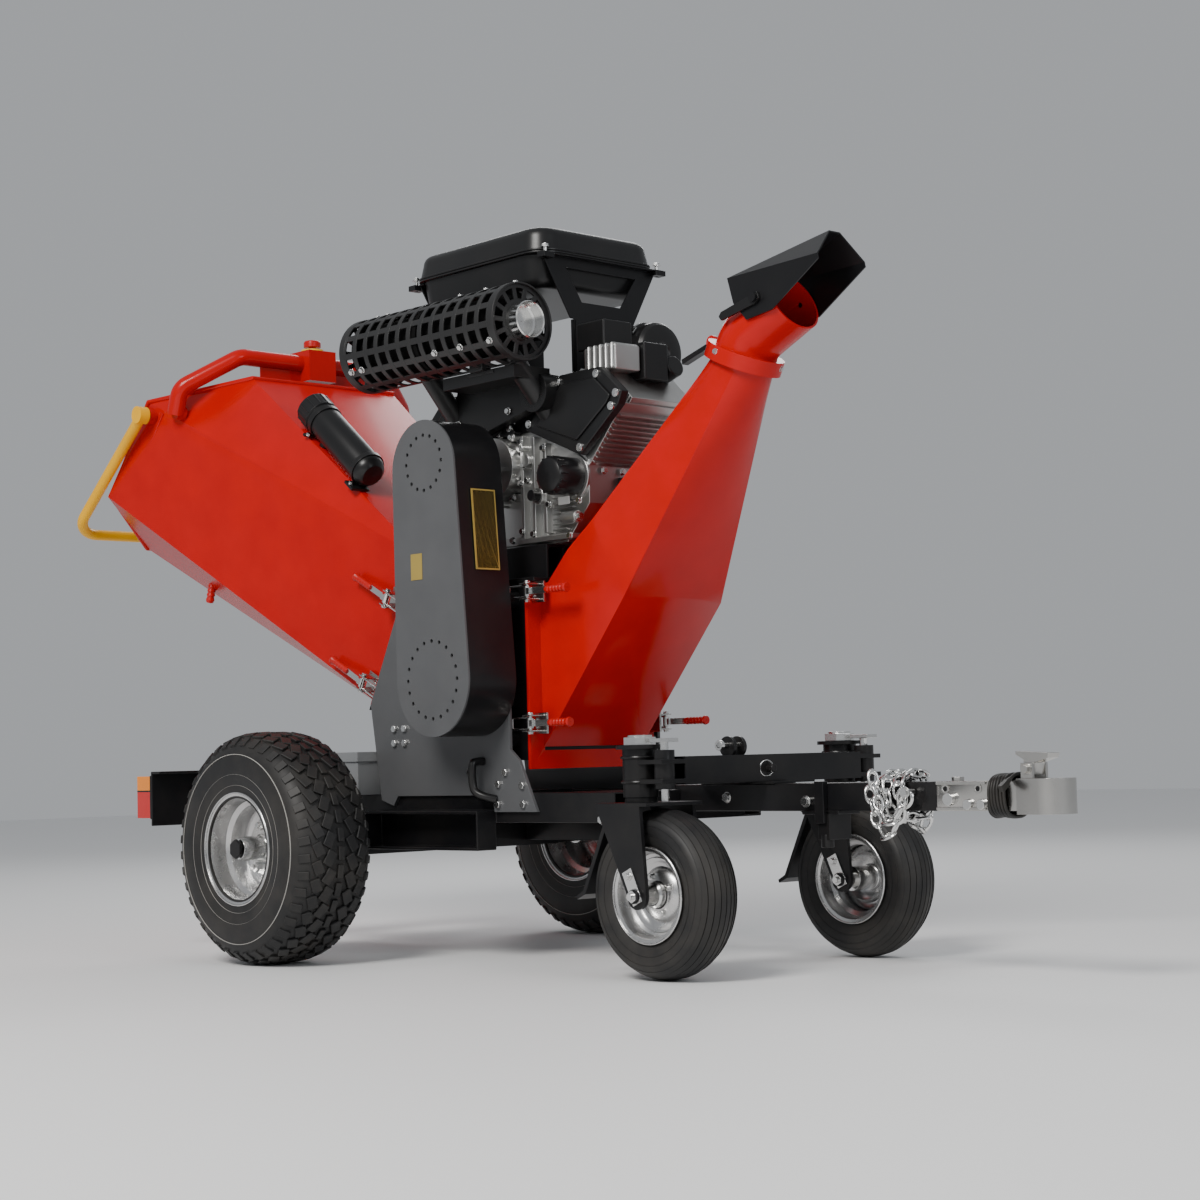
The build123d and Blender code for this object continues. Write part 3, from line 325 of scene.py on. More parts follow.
def refine(node, look=None, edge=0.0012, extra=()):
    # a merged copy of a CAD node with eased edges; extra is a list of (finish, test on a face's centre)
    shape = bmesh.new()
    shape.from_mesh(frame["nodes"][node].data)
    bmesh.ops.remove_doubles(shape, verts=shape.verts, dist=0.00002)
    bmesh.ops.dissolve_degenerate(shape, edges=shape.edges, dist=0.00002)
    bmesh.ops.dissolve_limit(shape, angle_limit=radians(0.6), verts=shape.verts, edges=shape.edges)
    mesh = bpy.data.meshes.new(f"{node}_skin")
    shape.to_mesh(mesh)
    shape.free()
    mesh.materials.append(finish[look or slotFinish[slotOf[node]]])
    for index, (name, test) in enumerate(extra, start=1):
        mesh.materials.append(finish[name])
        for face in mesh.polygons:
            if test(face.center):
                face.material_index = index
    for face in mesh.polygons:
        face.use_smooth = True
    mesh.set_sharp_from_angle(angle=radians(32))
    thing = bpy.data.objects.new(f"{node}_skin", mesh)
    bpy.context.scene.collection.objects.link(thing)
    softenEdges(thing, edge)
    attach(thing, bodyOf(node))
    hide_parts(node)
    return thing


def addBlock(shape, lowCorner, highCorner, turn=None):
    lowCorner, highCorner = Vector(lowCorner), Vector(highCorner)
    middle = (lowCorner + highCorner) / 2
    size = highCorner - lowCorner
    matrix = Matrix.Translation(middle) @ (turn or Matrix.Identity(4)) @ Matrix.Diagonal((*size, 1))
    return bmesh.ops.create_cube(shape, size=1, matrix=matrix)["verts"]


def addBlocks(shape, rows):
    # each row is the low corner and the high corner
    for row in rows:
        addBlock(shape, at(*row[:3]), at(*row[3:]))


def addBand(shape, low, high, inner, outer, centre, axis, steps):
    # a plain collar round an axis
    spinProfile(shape, [(low, inner), (low, outer), (high, outer), (high, inner)], centre, axis, steps=steps)


def addRod(shape, start, end, radius, tip=None, segments=24, caps=True):
    start, end = Vector(start), Vector(end)
    along = end - start
    turn = along.to_track_quat("Z", "Y").to_matrix().to_4x4()
    matrix = Matrix.Translation((start + end) / 2) @ turn
    bmesh.ops.create_cone(shape, cap_ends=caps, segments=segments, radius1=radius,
                          radius2=radius if tip is None else tip, depth=along.length, matrix=matrix)


def addBolt(shape, place, facing, size=0.008, tall=0.005, washer=True):
    facing = Vector(facing).normalized()
    place = Vector(place)
    if washer:
        addRod(shape, place, place + facing * 0.0015, size * 1.25, segments=20)
    addRod(shape, place + facing * 0.0015, place + facing * (0.0015 + tall), size, segments=6)


def spinProfile(shape, outline, centre, axis, steps=96, closed=True):
    # outline is a list of (along the axis, radius); the profile is spun once round the axis
    axis = Vector(axis).normalized()
    out = axis.orthogonal().normalized()
    centre = Vector(centre)
    corners = [shape.verts.new(centre + axis * along + out * radius) for along, radius in outline]
    pairs = list(zip(corners, corners[1:] + corners[:1])) if closed else list(zip(corners, corners[1:]))
    edges = [shape.edges.new(pair) for pair in pairs]
    bmesh.ops.spin(shape, geom=corners + edges, cent=centre, axis=axis, angle=2 * pi, steps=steps,
                   use_merge=True)


def addPlate(shape, outline, yLow, yHigh):
    # outline of (x, z) from the axle, made into a plate between two y values
    corners = [shape.verts.new(at(x, yLow, z)) for x, z in outline]
    face = shape.faces.new(corners)
    grown = bmesh.ops.extrude_face_region(shape, geom=[face])["geom"]
    moved = [item for item in grown if isinstance(item, bmesh.types.BMVert)]
    bmesh.ops.translate(shape, verts=moved, vec=(0, yHigh - yLow, 0))


def tubeAlong(name, points, radius, look, body, resolution=3, order=3):
    curve = bpy.data.curves.new(name, "CURVE")
    curve.dimensions = "3D"
    curve.bevel_depth = radius
    curve.bevel_resolution = resolution
    curve.use_fill_caps = True
    spline = curve.splines.new("NURBS")
    spline.points.add(len(points) - 1)
    for slot, place in zip(spline.points, points):
        slot.co = (*place, 1)
    spline.order_u = order
    spline.use_endpoint_u = True
    spline.resolution_u = 8
    curve.materials.append(finish[look])
    thing = bpy.data.objects.new(name, curve)
    bpy.context.scene.collection.objects.link(thing)
    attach(thing, body)
    return thing


detailed = set()        # nodes that a detailed piece stands for
special = {}            # finish, edge and extra finishes of the nodes that keep their CAD shape


def standFor(*nodes):
    detailed.update(nodes)
    return nodes


def solidWall(thing, thickness, offset=-1.0):
    wall = thing.modifiers.new("sheet", "SOLIDIFY")
    wall.thickness = thickness
    wall.offset = offset
    return thing


# rear tyres: round carcass, slanted lugs and a pale line on the sidewall
rearTyre = dict(carcass=[(0.0, 0.2285), (0.040, 0.2275), (0.066, 0.2225), (0.082, 0.211), (0.0905, 0.195),
                         (0.0942, 0.176), (0.0948, 0.158), (0.0930, 0.140), (0.0890, 0.124), (0.0885, 0.113),
                         (0.0880, 0.1022), (0.0740, 0.1022), (0.0800, 0.130), (0.0780, 0.180),
                         (0.0600, 0.212),
                         (0.0, 0.2165)],
                rows=[(0.0, 0.014, 0.027, 0.0, 0.2308, 0.0), (0.027, 0.021, 0.031, 28, 0.2304, 5),
                      (0.052, 0.021, 0.027, -24, 0.2278, 14), (0.0765, 0.024, 0.017, -8, 0.2150, 42)],
                lugs=40)


def bothWays(half):
    # closed outline from the half on the positive side
    outer, inner = half[:11], half[11:]
    mirrored = [(-along, radius) for along, radius in half if along > 0]
    outerMirror, innerMirror = mirrored[:10], mirrored[10:]
    return outer + inner + innerMirror[::-1] + outerMirror[::-1]


def makeRearTyre(hand):
    centre = middleOf(f"rear_tyre_{hand}")
    shape = bmesh.new()
    spinProfile(shape, bothWays(rearTyre["carcass"]), centre, (0, 1, 0), steps=96)
    tyre = piece(f"rearTyreCarcass_{hand}", shape, "tyreRubber", bodyOf(f"rear_tyre_{hand}"),
                 replaced=standFor(f"rear_tyre_{hand}"), sharp=50)
    lugs = bmesh.new()
    for row, (across, width, length, skew, radius, tilt) in enumerate(rearTyre["rows"]):
        for side in ((1,) if across == 0 else (-1, 1)):
            for index in range(rearTyre["lugs"]):
                turn = 2 * pi * (index + 0.5 * (row % 2) + (0.25 if side > 0 else 0)) / rearTyre["lugs"]
                matrix = (Matrix.Translation(centre) @ Matrix.Rotation(turn, 4, "Y")
                          @ Matrix.Translation((0, side * across, radius))
                          @ Matrix.Rotation(radians(-side * tilt), 4, "X")
                          @ Matrix.Rotation(radians(side * skew), 4, "Z")
                          @ Matrix.Diagonal((length, width, 0.0062, 1)))
                bmesh.ops.create_cube(lugs, size=1, matrix=matrix)
    lugPiece = piece(f"rearTyreLugs_{hand}", lugs, "tyreRubber", bodyOf(f"rear_tyre_{hand}"), edge=0.0016)
    line = bmesh.new()
    for side in (-1, 1):
        spinProfile(line, [(side * 0.0915, 0.1892), (side * 0.0932, 0.1896), (side * 0.0928, 0.1908),
                           (side * 0.0911, 0.1906)], centre, (0, 1, 0), steps=96)
        for radius, reach in ((0.150, 0.0946), (0.128, 0.0908)):
            spinProfile(line, [(side * (reach - 0.003), radius - 0.0012), (side * reach, radius),
                               (side * (reach - 0.003), radius + 0.0012)], centre, (0, 1, 0), steps=96)
    piece(f"rearTyreLine_{hand}", line, "sidewallLine", bodyOf(f"rear_tyre_{hand}"), sharp=60)


# caster tyres: ribbed tread
casterTyre = dict(grooves=(0.0, 0.012, 0.024, 0.035), deep=0.0032, wide=0.0022, radius=0.1528)


def makeCasterTyre(hand):
    centre = middleOf(f"caster_tyre_{hand}")
    crown = []
    for along in reversed(casterTyre["grooves"][1:]):
        fall = 9.0 * along * along
        top, bottom = casterTyre["radius"] - fall, casterTyre["radius"] - fall - casterTyre["deep"]
        half = casterTyre["wide"] / 2
        crown += [(along + half, top), (along + half * 0.4, bottom), (along - half * 0.4, bottom),
                  (along - half, top)]
    wall = [(0.030, 0.078), (0.036, 0.078), (0.0425, 0.0905), (0.0475, 0.104), (0.0498, 0.118),
            (0.0482, 0.130), (0.0430, 0.1365)]
    tread = [(-along, radius) for along, radius in wall] + [(-along, radius) for along, radius in crown]
    tread += [(-0.001, casterTyre["radius"]), (-0.0004, casterTyre["radius"] - casterTyre["deep"]),
              (0.0004, casterTyre["radius"] - casterTyre["deep"]), (0.001, casterTyre["radius"])]
    outline = tread + crown[::-1] + wall[::-1]
    inner = [(0.036, 0.120), (-0.036, 0.120)]
    shape = bmesh.new()
    spinProfile(shape, outline + inner, centre, (0, 1, 0), steps=88)
    for side in (-1, 1):
        for radius, reach in ((0.124, 0.0499), (0.108, 0.0490), (0.1355, 0.0446)):
            spinProfile(shape, [(side * (reach - 0.0025), radius - 0.001), (side * reach, radius),
                                (side * (reach - 0.0025), radius + 0.001)], centre, (0, 1, 0), steps=88)
    tyre = piece(f"casterTyre_{hand}", shape, "tyreRubber", bodyOf(f"caster_tyre_{hand}"),
                 replaced=standFor(f"caster_tyre_{hand}"), sharp=40)


# pressed rims; along is measured outwards from the middle of the wheel
rearRim = dict(barrel=[(-0.0915, 0.1125), (-0.0885, 0.1130), (-0.0865, 0.1050), (-0.0700, 0.1005),
                       (-0.050, 0.0985), (-0.044, 0.0880), (0.018, 0.0865), (0.030, 0.0885), (0.044, 0.0885),
                       (0.050, 0.0980), (0.070, 0.1000), (0.0865, 0.1045), (0.0885, 0.1130),
                       (0.0915, 0.1125)],
               disc=[(0.012, 0.0870), (0.004, 0.0800), (0.000, 0.0700), (0.008, 0.0640), (0.010, 0.0290)],
               wall=0.003, hub=0.0285, hubReach=0.0840, flange=0.060, nuts=5, nutCircle=0.046)
casterRim = dict(barrel=[(-0.0475, 0.0855), (-0.0450, 0.0865), (-0.0430, 0.0790), (-0.0330, 0.0755),
                         (-0.0200, 0.0740), (-0.0150, 0.0660), (0.0150, 0.0660), (0.0200, 0.0740),
                         (0.0330, 0.0755), (0.0430, 0.0790), (0.0450, 0.0865), (0.0475, 0.0855)],
                 disc=[(0.018, 0.0665), (0.008, 0.0600), (0.006, 0.0500), (0.016, 0.0420), (0.018, 0.0260),
                       (0.010, 0.0230)],
                 wall=0.0025, hub=0.0235, hubReach=0.042, flange=0.0, nuts=4, nutCircle=0.034)


def makeRim(node, sizes, side):
    centre = middleOf(node)
    out = Vector((0, side, 0))
    sheet = bmesh.new()
    spinProfile(sheet, sizes["barrel"], centre, out, steps=72, closed=False)
    spinProfile(sheet, sizes["disc"], centre, out, steps=72, closed=False)
    wheel = piece(f"{node}_pressing", sheet, "silverRim", bodyOf(node), replaced=standFor(node), sharp=50)
    solidWall(wheel, sizes["wall"], 0.0)
    hub = bmesh.new()
    reach = sizes["hubReach"]
    spinProfile(hub, [(-reach, 0.014), (-reach, sizes["hub"]), (0.030, sizes["hub"]),
                      (0.034, sizes["hub"] - 0.004), (reach - 0.012, sizes["hub"] - 0.004),
                      (reach, sizes["hub"] - 0.008), (reach, 0.014)], centre, out, steps=48)
    if sizes["flange"]:
        spinProfile(hub, [(0.010, 0.02), (0.010, sizes["flange"]), (0.0155, sizes["flange"]),
                          (0.018, sizes["flange"] - 0.003), (0.018, 0.02)], centre, out, steps=48)
    for index in range(sizes["nuts"]):
        turn = 2 * pi * index / sizes["nuts"] + 0.4
        foot = centre + Vector((cos(turn), 0, sin(turn))) * sizes["nutCircle"] + out * 0.017
        addBolt(hub, foot, out, 0.0105 if sizes["flange"] else 0.006, 0.012 if sizes["flange"] else 0.006)
        addRod(hub, foot, foot + out * (0.021 if sizes["flange"] else 0.010),
               0.0058 if sizes["flange"] else 0.003)
    piece(f"{node}_hub", hub, "brightSteel", bodyOf(node), edge=0.0006)


for hand, side in (("right", -1), ("left", 1)):
    makeRearTyre(hand)
    makeCasterTyre(hand)
    makeRim(f"rear_rim_{hand}", rearRim, side)
    makeRim(f"caster_rim_{hand}", casterRim, side)
print("stage: wheels")


def roundY(turn):
    # a ray in the plane of a wheel
    return Vector((cos(turn), 0, sin(turn)))


def roundX(turn):
    # a ray in the plane across the machine
    return Vector((0, cos(turn), sin(turn)))


def frameOf(origin, along, across):
    # local x runs along, local y across, local z completes them
    along, across = Vector(along).normalized(), Vector(across).normalized()
    up = along.cross(across)
    return Matrix.Translation(origin) @ Matrix((along, across, up)).transposed().to_4x4()


def addLocal(shape, place, lowCorner, highCorner):
    lowCorner, highCorner = Vector(lowCorner), Vector(highCorner)
    matrix = place @ Matrix.Translation((lowCorner + highCorner) / 2) @ Matrix.Diagonal(
        (*(highCorner - lowCorner), 1))
    return bmesh.ops.create_cube(shape, size=1, matrix=matrix)["verts"]


# silencer: slotted heat shield, slotted end cap and bright outlet
silencer = dict(rear=0.062, front=0.548, y=-0.232, z=1.255, radius=0.0775, body=0.060, rows=10, columns=13,
                covered=290, bar=0.0064, spokes=14)


def makeSilencer():
    y, z = silencer["y"], silencer["z"]
    bars = bmesh.new()
    length = silencer["front"] - silencer["rear"] - 0.02
    firstTurn = radians(130 - silencer["covered"] / 2)
    sweep = radians(silencer["covered"])
    toTurn = Matrix.Rotation(firstTurn, 3, "X")
    for column in range(silencer["columns"] + 1):
        x = silencer["rear"] + 0.01 + length * column / silencer["columns"]
        corners = [bars.verts.new(at(x + dx, y, z) + toTurn @ Vector((0, radius, 0)))
                   for dx, radius in ((-silencer["bar"], 0.0745), (silencer["bar"], 0.0745),
                                      (silencer["bar"], silencer["radius"]),
                                      (-silencer["bar"], silencer["radius"]))]
        band = bars.faces.new(corners)
        bmesh.ops.spin(bars, geom=[*corners, *band.edges, band], cent=at(0, y, z), axis=(1, 0, 0),
                       angle=sweep,
                       steps=54)
    for row in range(silencer["rows"] + 1):
        turn = firstTurn + sweep * row / silencer["rows"]
        out = roundX(turn)
        place = frameOf(at((silencer["rear"] + silencer["front"]) / 2, y, z) + out * 0.0757, (1, 0, 0),
                        Vector((1, 0, 0)).cross(out))
        addLocal(bars, place, (-length / 2, -silencer["bar"], -0.0013), (length / 2, silencer["bar"], 0.0013))
    shield = piece("silencerShield", bars, "exhaustBlack", "root", edge=0.0007,
                   replaced=standFor("muffler_shield"), sharp=50)
    body = bmesh.new()
    spinProfile(body, [(-0.222, 0.001), (-0.222, 0.052), (-0.214, silencer["body"]),
                       (0.206, silencer["body"]),
                       (0.214, 0.052), (0.214, 0.001)], at((silencer["rear"] + silencer["front"]) / 2, y, z),
                (1, 0, 0), steps=64)
    for x in (0.10, 0.30, 0.50):
        spinProfile(body, [(-0.006, 0.058), (-0.006, 0.0740), (0.006, 0.0740), (0.006, 0.058)], at(x, y, z),
                    (1, 0, 0), steps=64)
    # the can's near-black finish is partly painted shade, standing for the shade inside the slotted heat
    # shield
    can = piece("silencerCan", body, "sootAndShadeBlack", "root", edge=0.001, replaced=standFor("muffler"))
    bracket = bmesh.new()
    addBlocks(bracket, [
        (0.380, -0.109, 1.0601, 0.460, -0.101, 1.172), (0.380, -0.232, 1.166, 0.460, -0.101, 1.174),
        (0.400, -0.244, 1.172, 0.440, -0.220, 1.200)])
    addRod(bracket, at(0.240, -0.222, 1.198), at(0.240, -0.120, 1.075), 0.021, segments=32)
    addRod(bracket, at(0.500, -0.222, 1.198), at(0.500, -0.120, 1.085), 0.021, segments=32)
    piece("silencerBracket", bracket, "exhaustBlack", "root", edge=0.0014)
    for end, x in (("front", silencer["front"] - 0.004), ("rear", silencer["rear"] + 0.004)):
        cap = bmesh.new()
        for inside, outside in ((0.0375, 0.0455), (0.0665, 0.0768)):
            spinProfile(cap, [(-0.002, inside), (-0.002, outside), (0.002, outside), (0.002, inside)],
                        at(x, y, z),
                        (1, 0, 0), steps=64)
        for index in range(silencer["spokes"]):
            turn = 2 * pi * index / silencer["spokes"]
            out = roundX(turn)
            place = frameOf(at(x, y, z) + out * 0.056, (1, 0, 0), Vector((1, 0, 0)).cross(out))
            addLocal(cap, place, (-0.0019, -0.0048, -0.014), (0.0019, 0.0048, 0.014))
        piece(f"silencerCap_{end}", cap, "exhaustBlack", "root", edge=0.0006, sharp=50)
        rim = bmesh.new()
        spinProfile(rim, [(-0.010, 0.0740), (-0.010, 0.0780), (0.008, 0.0780), (0.008, 0.0740)], at(x, y, z),
                    (1, 0, 0), steps=64)
        piece(f"silencerRim_{end}", rim, "exhaustBlack", "root", edge=0.0012)
    outlet = bmesh.new()
    spinProfile(outlet, [(0.0, 0.001), (0.0, 0.030), (0.003, 0.0335), (0.027, 0.0335), (0.029, 0.0355),
                         (0.027, 0.0375), (-0.012, 0.0375), (-0.012, 0.001)], at(0.548, y, z), (1, 0, 0),
                         steps=56)
    piece("silencerOutlet", outlet, "brightSteel", "root")
    bolts = bmesh.new()
    for turn in (-32, 92):
        for x in (0.085, 0.12, 0.36, 0.44, 0.53):
            out = Vector((0, -cos(radians(turn)), sin(radians(turn))))
            addBolt(bolts, at(x, y, z) + out * 0.0775, out, 0.0058, 0.005)
    piece("silencerBolts", bolts, "brightSteel", "root", edge=0.0005)


makeSilencer()
print("stage: silencer")

# fuel tank: two moulded halves and a bolted seam
tank = dict(rear=0.096, front=0.512, near=-0.146, far=0.186, seam=1.414, corner=0.052, bottom=1.350,
            top=1.471)


def addTub(shape, lowCorner, highCorner, corner, edgeTop, edgeBottom, draft=1.0, drafted="top"):
    verts = addBlock(shape, lowCorner, highCorner)
    edges = {edge for vert in verts for edge in vert.link_edges}
    upright = [edge for edge in edges if abs(edge.verts[0].co.z - edge.verts[1].co.z) > 0.001]
    made = bmesh.ops.bevel(shape, geom=upright, offset=corner, offset_type="OFFSET", segments=7, profile=0.5,
                           affect="EDGES", material=-1)
    everything = {vert for face in made["faces"] for vert in face.verts} | {v for v in verts if v.is_valid}
    level = highCorner[2] if drafted == "top" else lowCorner[2]
    middle = (Vector(lowCorner) + Vector(highCorner)) / 2
    for vert in everything:
        if abs(vert.co.z - level) < 1e-5:
            vert.co.x = middle.x + (vert.co.x - middle.x) * draft
            vert.co.y = middle.y + (vert.co.y - middle.y) * draft
    for limit, width in ((highCorner[2], edgeTop), (lowCorner[2], edgeBottom)):
        if width:
            around = [edge for edge in shape.edges if edge.verts[0] in everything
                      and all(abs(vert.co.z - limit) < 1e-5 for vert in edge.verts)]
            made = bmesh.ops.bevel(shape, geom=around, offset=width, offset_type="OFFSET", segments=5,
                                   profile=0.5, affect="EDGES", material=-1)
            everything |= {vert for face in made["faces"] for vert in face.verts}
            everything = {vert for vert in everything if vert.is_valid}


def makeTank():
    shape = bmesh.new()
    x0, x1, y0, y1 = (tank[key] for key in ("rear", "front", "near", "far"))
    seam = tank["seam"]
    addTub(shape, at(x0, y0, seam + 0.009), at(x1, y1, tank["top"]), tank["corner"], 0.020, 0, draft=0.972)
    addTub(shape, at(x0 + 0.006, y0 + 0.006, tank["bottom"]), at(x1 - 0.018, y1 - 0.006, seam),
           tank["corner"],
           0, 0.020, draft=0.962, drafted="bottom")
    addTub(shape, at(x0 - 0.005, y0 - 0.003, seam + 0.0005), at(x1 + 0.005, y1 + 0.003, seam + 0.0045),
           tank["corner"] + 0.005, 0.001, 0.001)
    addTub(shape, at(x0 - 0.005, y0 - 0.003, seam + 0.0055), at(x1 + 0.005, y1 + 0.003, seam + 0.0095),
           tank["corner"] + 0.005, 0.001, 0.001)
    addTub(shape, at(x0 + 0.05, y0 + 0.05, tank["top"]), at(x1 - 0.06, y1 - 0.05, tank["top"] + 0.006), 0.04,
           0.004, 0, draft=0.97)
    addRod(shape, at(0.250, 0.020, 1.462), at(0.250, 0.020, 1.4795), 0.034, segments=40)
    body = piece("fuelTank", shape, "blackPlastic", "root", replaced=standFor("fuel_tank"), sharp=40)
    cap = bmesh.new()
    centre = at(0.250, 0.020, 1.482)
    spinProfile(cap, [(-0.007, 0.036), (-0.007, 0.0415), (0.004, 0.0415), (0.0075, 0.037), (0.0075, 0.001),
                      (-0.0015, 0.001), (-0.0015, 0.036)], centre, (0, 0, 1), steps=60)
    for index in range(20):
        turn = 2 * pi * index / 20
        place = centre + Vector((cos(turn), sin(turn), 0)) * 0.0405
        addRod(cap, place - Vector((0, 0, 0.006)), place + Vector((0, 0, 0.003)), 0.0024, segments=8)
    capPiece = piece("fuelCap", cap, "blackPlastic", bodyOf("fuel_cap"), edge=0.0006,
                     replaced=standFor("fuel_cap"))
    bolts = bmesh.new()
    for x in (0.093, 0.507):
        for y in (-0.128, 0.184):
            addRod(bolts, at(x, y, 1.402), at(x, y, 1.432), 0.0038)
            addBolt(bolts, at(x, y, 1.4240), (0, 0, 1), 0.0072, 0.005)
            addBolt(bolts, at(x, y, 1.4125), (0, 0, -1), 0.0072, 0.005)
    piece("tankBolts", bolts, "brightSteel", "root", edge=0.0005)
    tabs = bmesh.new()
    for x in (0.082, 0.498):
        for y in (-0.142, 0.170):
            addBlock(tabs, at(x, y, 1.402), at(x + 0.022, y + 0.028, 1.4135))
    piece("tankTabs", tabs, "blackPaint", "root", edge=0.001)


makeTank()
print("stage: tank")

# rings and framed plates
def addRing(shape, centre, axis, radius, wire, steps=28, sides=8, stretch=1.0):
    # a round ring, or an oval one when stretched
    outline = [(wire * sin(2 * pi * index / sides), radius + wire * cos(2 * pi * index / sides))
               for index in range(sides)]
    before = set(shape.verts)
    spinProfile(shape, outline, centre, axis, steps=steps)
    if stretch != 1.0:
        side = Vector(axis).normalized().orthogonal().normalized()
        for vert in set(shape.verts) - before:
            reach = (vert.co - Vector(centre)).dot(side)
            vert.co += side * reach * (stretch - 1)


def addFramedPlate(shape, outer, inner, xLow, xHigh):
    # flat plate across the machine, with one window; corners are (y, z)
    edge = [shape.verts.new(at(xLow, y, z)) for y, z in outer]
    window = [shape.verts.new(at(xLow, y, z)) for y, z in inner]
    faces = []
    for index in range(len(outer)):
        after = (index + 1) % len(outer)
        faces.append(shape.faces.new((edge[index], edge[after], window[after], window[index])))
    grown = bmesh.ops.extrude_face_region(shape, geom=faces)["geom"]
    moved = [item for item in grown if isinstance(item, bmesh.types.BMVert)]
    bmesh.ops.translate(shape, verts=moved, vec=(xHigh - xLow, 0, 0))


# engine: cast crankcase with ribs and bosses, finned banks, covers, filters
engine = dict(crankX=0.355, crankZ=0.991, middle=0.420, near=-0.110, far=0.130, finPitch=0.0115, fins=11,
              finThick=0.0026, boltSize=0.0062, filterX=(0.474, 0.606), filterY=0.100, filterZ=1.221,
              filterRadius=0.064)


def makeCrankcaseDetail():
    near = engine["near"]
    ribs = bmesh.new()
    for x, low, high in ((0.418, 0.842, 1.052), (0.452, 0.842, 1.046), (0.486, 0.850, 1.030)):
        addBlock(ribs, at(x - 0.0045, near - 0.016, low), at(x + 0.0045, near + 0.002, high))
    for index in range(9):
        z = 0.842 + index * 0.0105
        addBlocks(ribs, [
            (0.498, near - 0.009, z, 0.538 + index * 0.0045, near + 0.002, z + 0.0036),
            (0.526 + index * 0.0066, near, z, 0.546 + index * 0.0066, 0.112, z + 0.0036)])
    addBlocks(ribs, [
        (0.402, near - 0.020, 0.832, 0.566, near + 0.004, 0.843),
        (0.286, near - 0.010, 0.832, 0.404, near + 0.004, 0.850)])
    addRod(ribs, at(0.558, near - 0.006, 0.955), at(0.558, near + 0.002, 0.955), 0.046, segments=40)
    addRod(ribs, at(0.470, near - 0.022, 0.925), at(0.470, near + 0.002, 0.925), 0.017, segments=28)
    addRod(ribs, at(0.436, near - 0.024, 1.000), at(0.436, near + 0.002, 1.000), 0.013, segments=24)
    addRod(ribs, at(0.540, near - 0.014, 0.874), at(0.582, near - 0.014, 0.874), 0.0125, segments=28)
    for turn in range(0, 360, 30):
        spoke = roundY(radians(turn))
        middle = at(engine["crankX"], near - 0.004, engine["crankZ"]) + spoke * 0.071
        addRod(ribs, middle - Vector((0, 0.014, 0)), middle + Vector((0, 0.006, 0)), 0.0085, segments=18)
    piece("crankcaseRibs", ribs, "castAluminium", "root", edge=0.0016)
    bolts = bmesh.new()
    places = [(0.418, 0.858), (0.418, 1.040), (0.452, 0.850), (0.486, 1.020), (0.520, 0.990), (0.590, 0.905),
              (0.500, 0.905), (0.436, 0.960), (0.300, 0.842), (0.388, 0.842), (0.560, 0.838)]
    for x, z in places:
        addBolt(bolts, at(x, near - 0.017, z), (0, -1, 0), engine["boltSize"], 0.005)
    for turn in range(0, 360, 30):
        spoke = roundY(radians(turn))
        addBolt(bolts, at(engine["crankX"], near - 0.018, engine["crankZ"]) + spoke * 0.071, (0, -1, 0),
                0.0056)
    for y in (-0.075, -0.025, 0.030, 0.085):
        addBolt(bolts, at(0.606, y, 0.965), (1, 0, 0), engine["boltSize"], 0.005)
        addBolt(bolts, at(0.234, y, 0.965), (-1, 0, 0), engine["boltSize"], 0.005)
    addBolt(bolts, at(0.583, near - 0.014, 0.874), (1, 0, 0), 0.008, 0.006)
    piece("crankcaseBolts", bolts, "brightSteel", "root", edge=0.0005)
    plate = bmesh.new()
    addBlock(plate, at(0.520, near - 0.0115, 0.902), at(0.552, near - 0.0085, 0.918))
    piece("crankcaseBlankPlate", plate, "whitePlate", "root", edge=0.0006)
    dark = bmesh.new()
    addRod(dark, at(0.470, near - 0.040, 0.925), at(0.470, near - 0.020, 0.925), 0.0115, segments=24)
    addRod(dark, at(0.618, -0.020, 0.905), at(0.618, 0.070, 0.905), 0.030, segments=36)
    addRod(dark, at(0.604, -0.032, 0.940), at(0.604, 0.020, 0.940), 0.014, segments=24)
    addBlocks(dark, [
        (0.560, 0.000, 0.855, 0.625, 0.060, 0.885), (0.600, -0.100, 1.000, 0.612, 0.090, 1.060)])
    piece("starterMotor", dark, "blackPaint", "root", edge=0.0012)


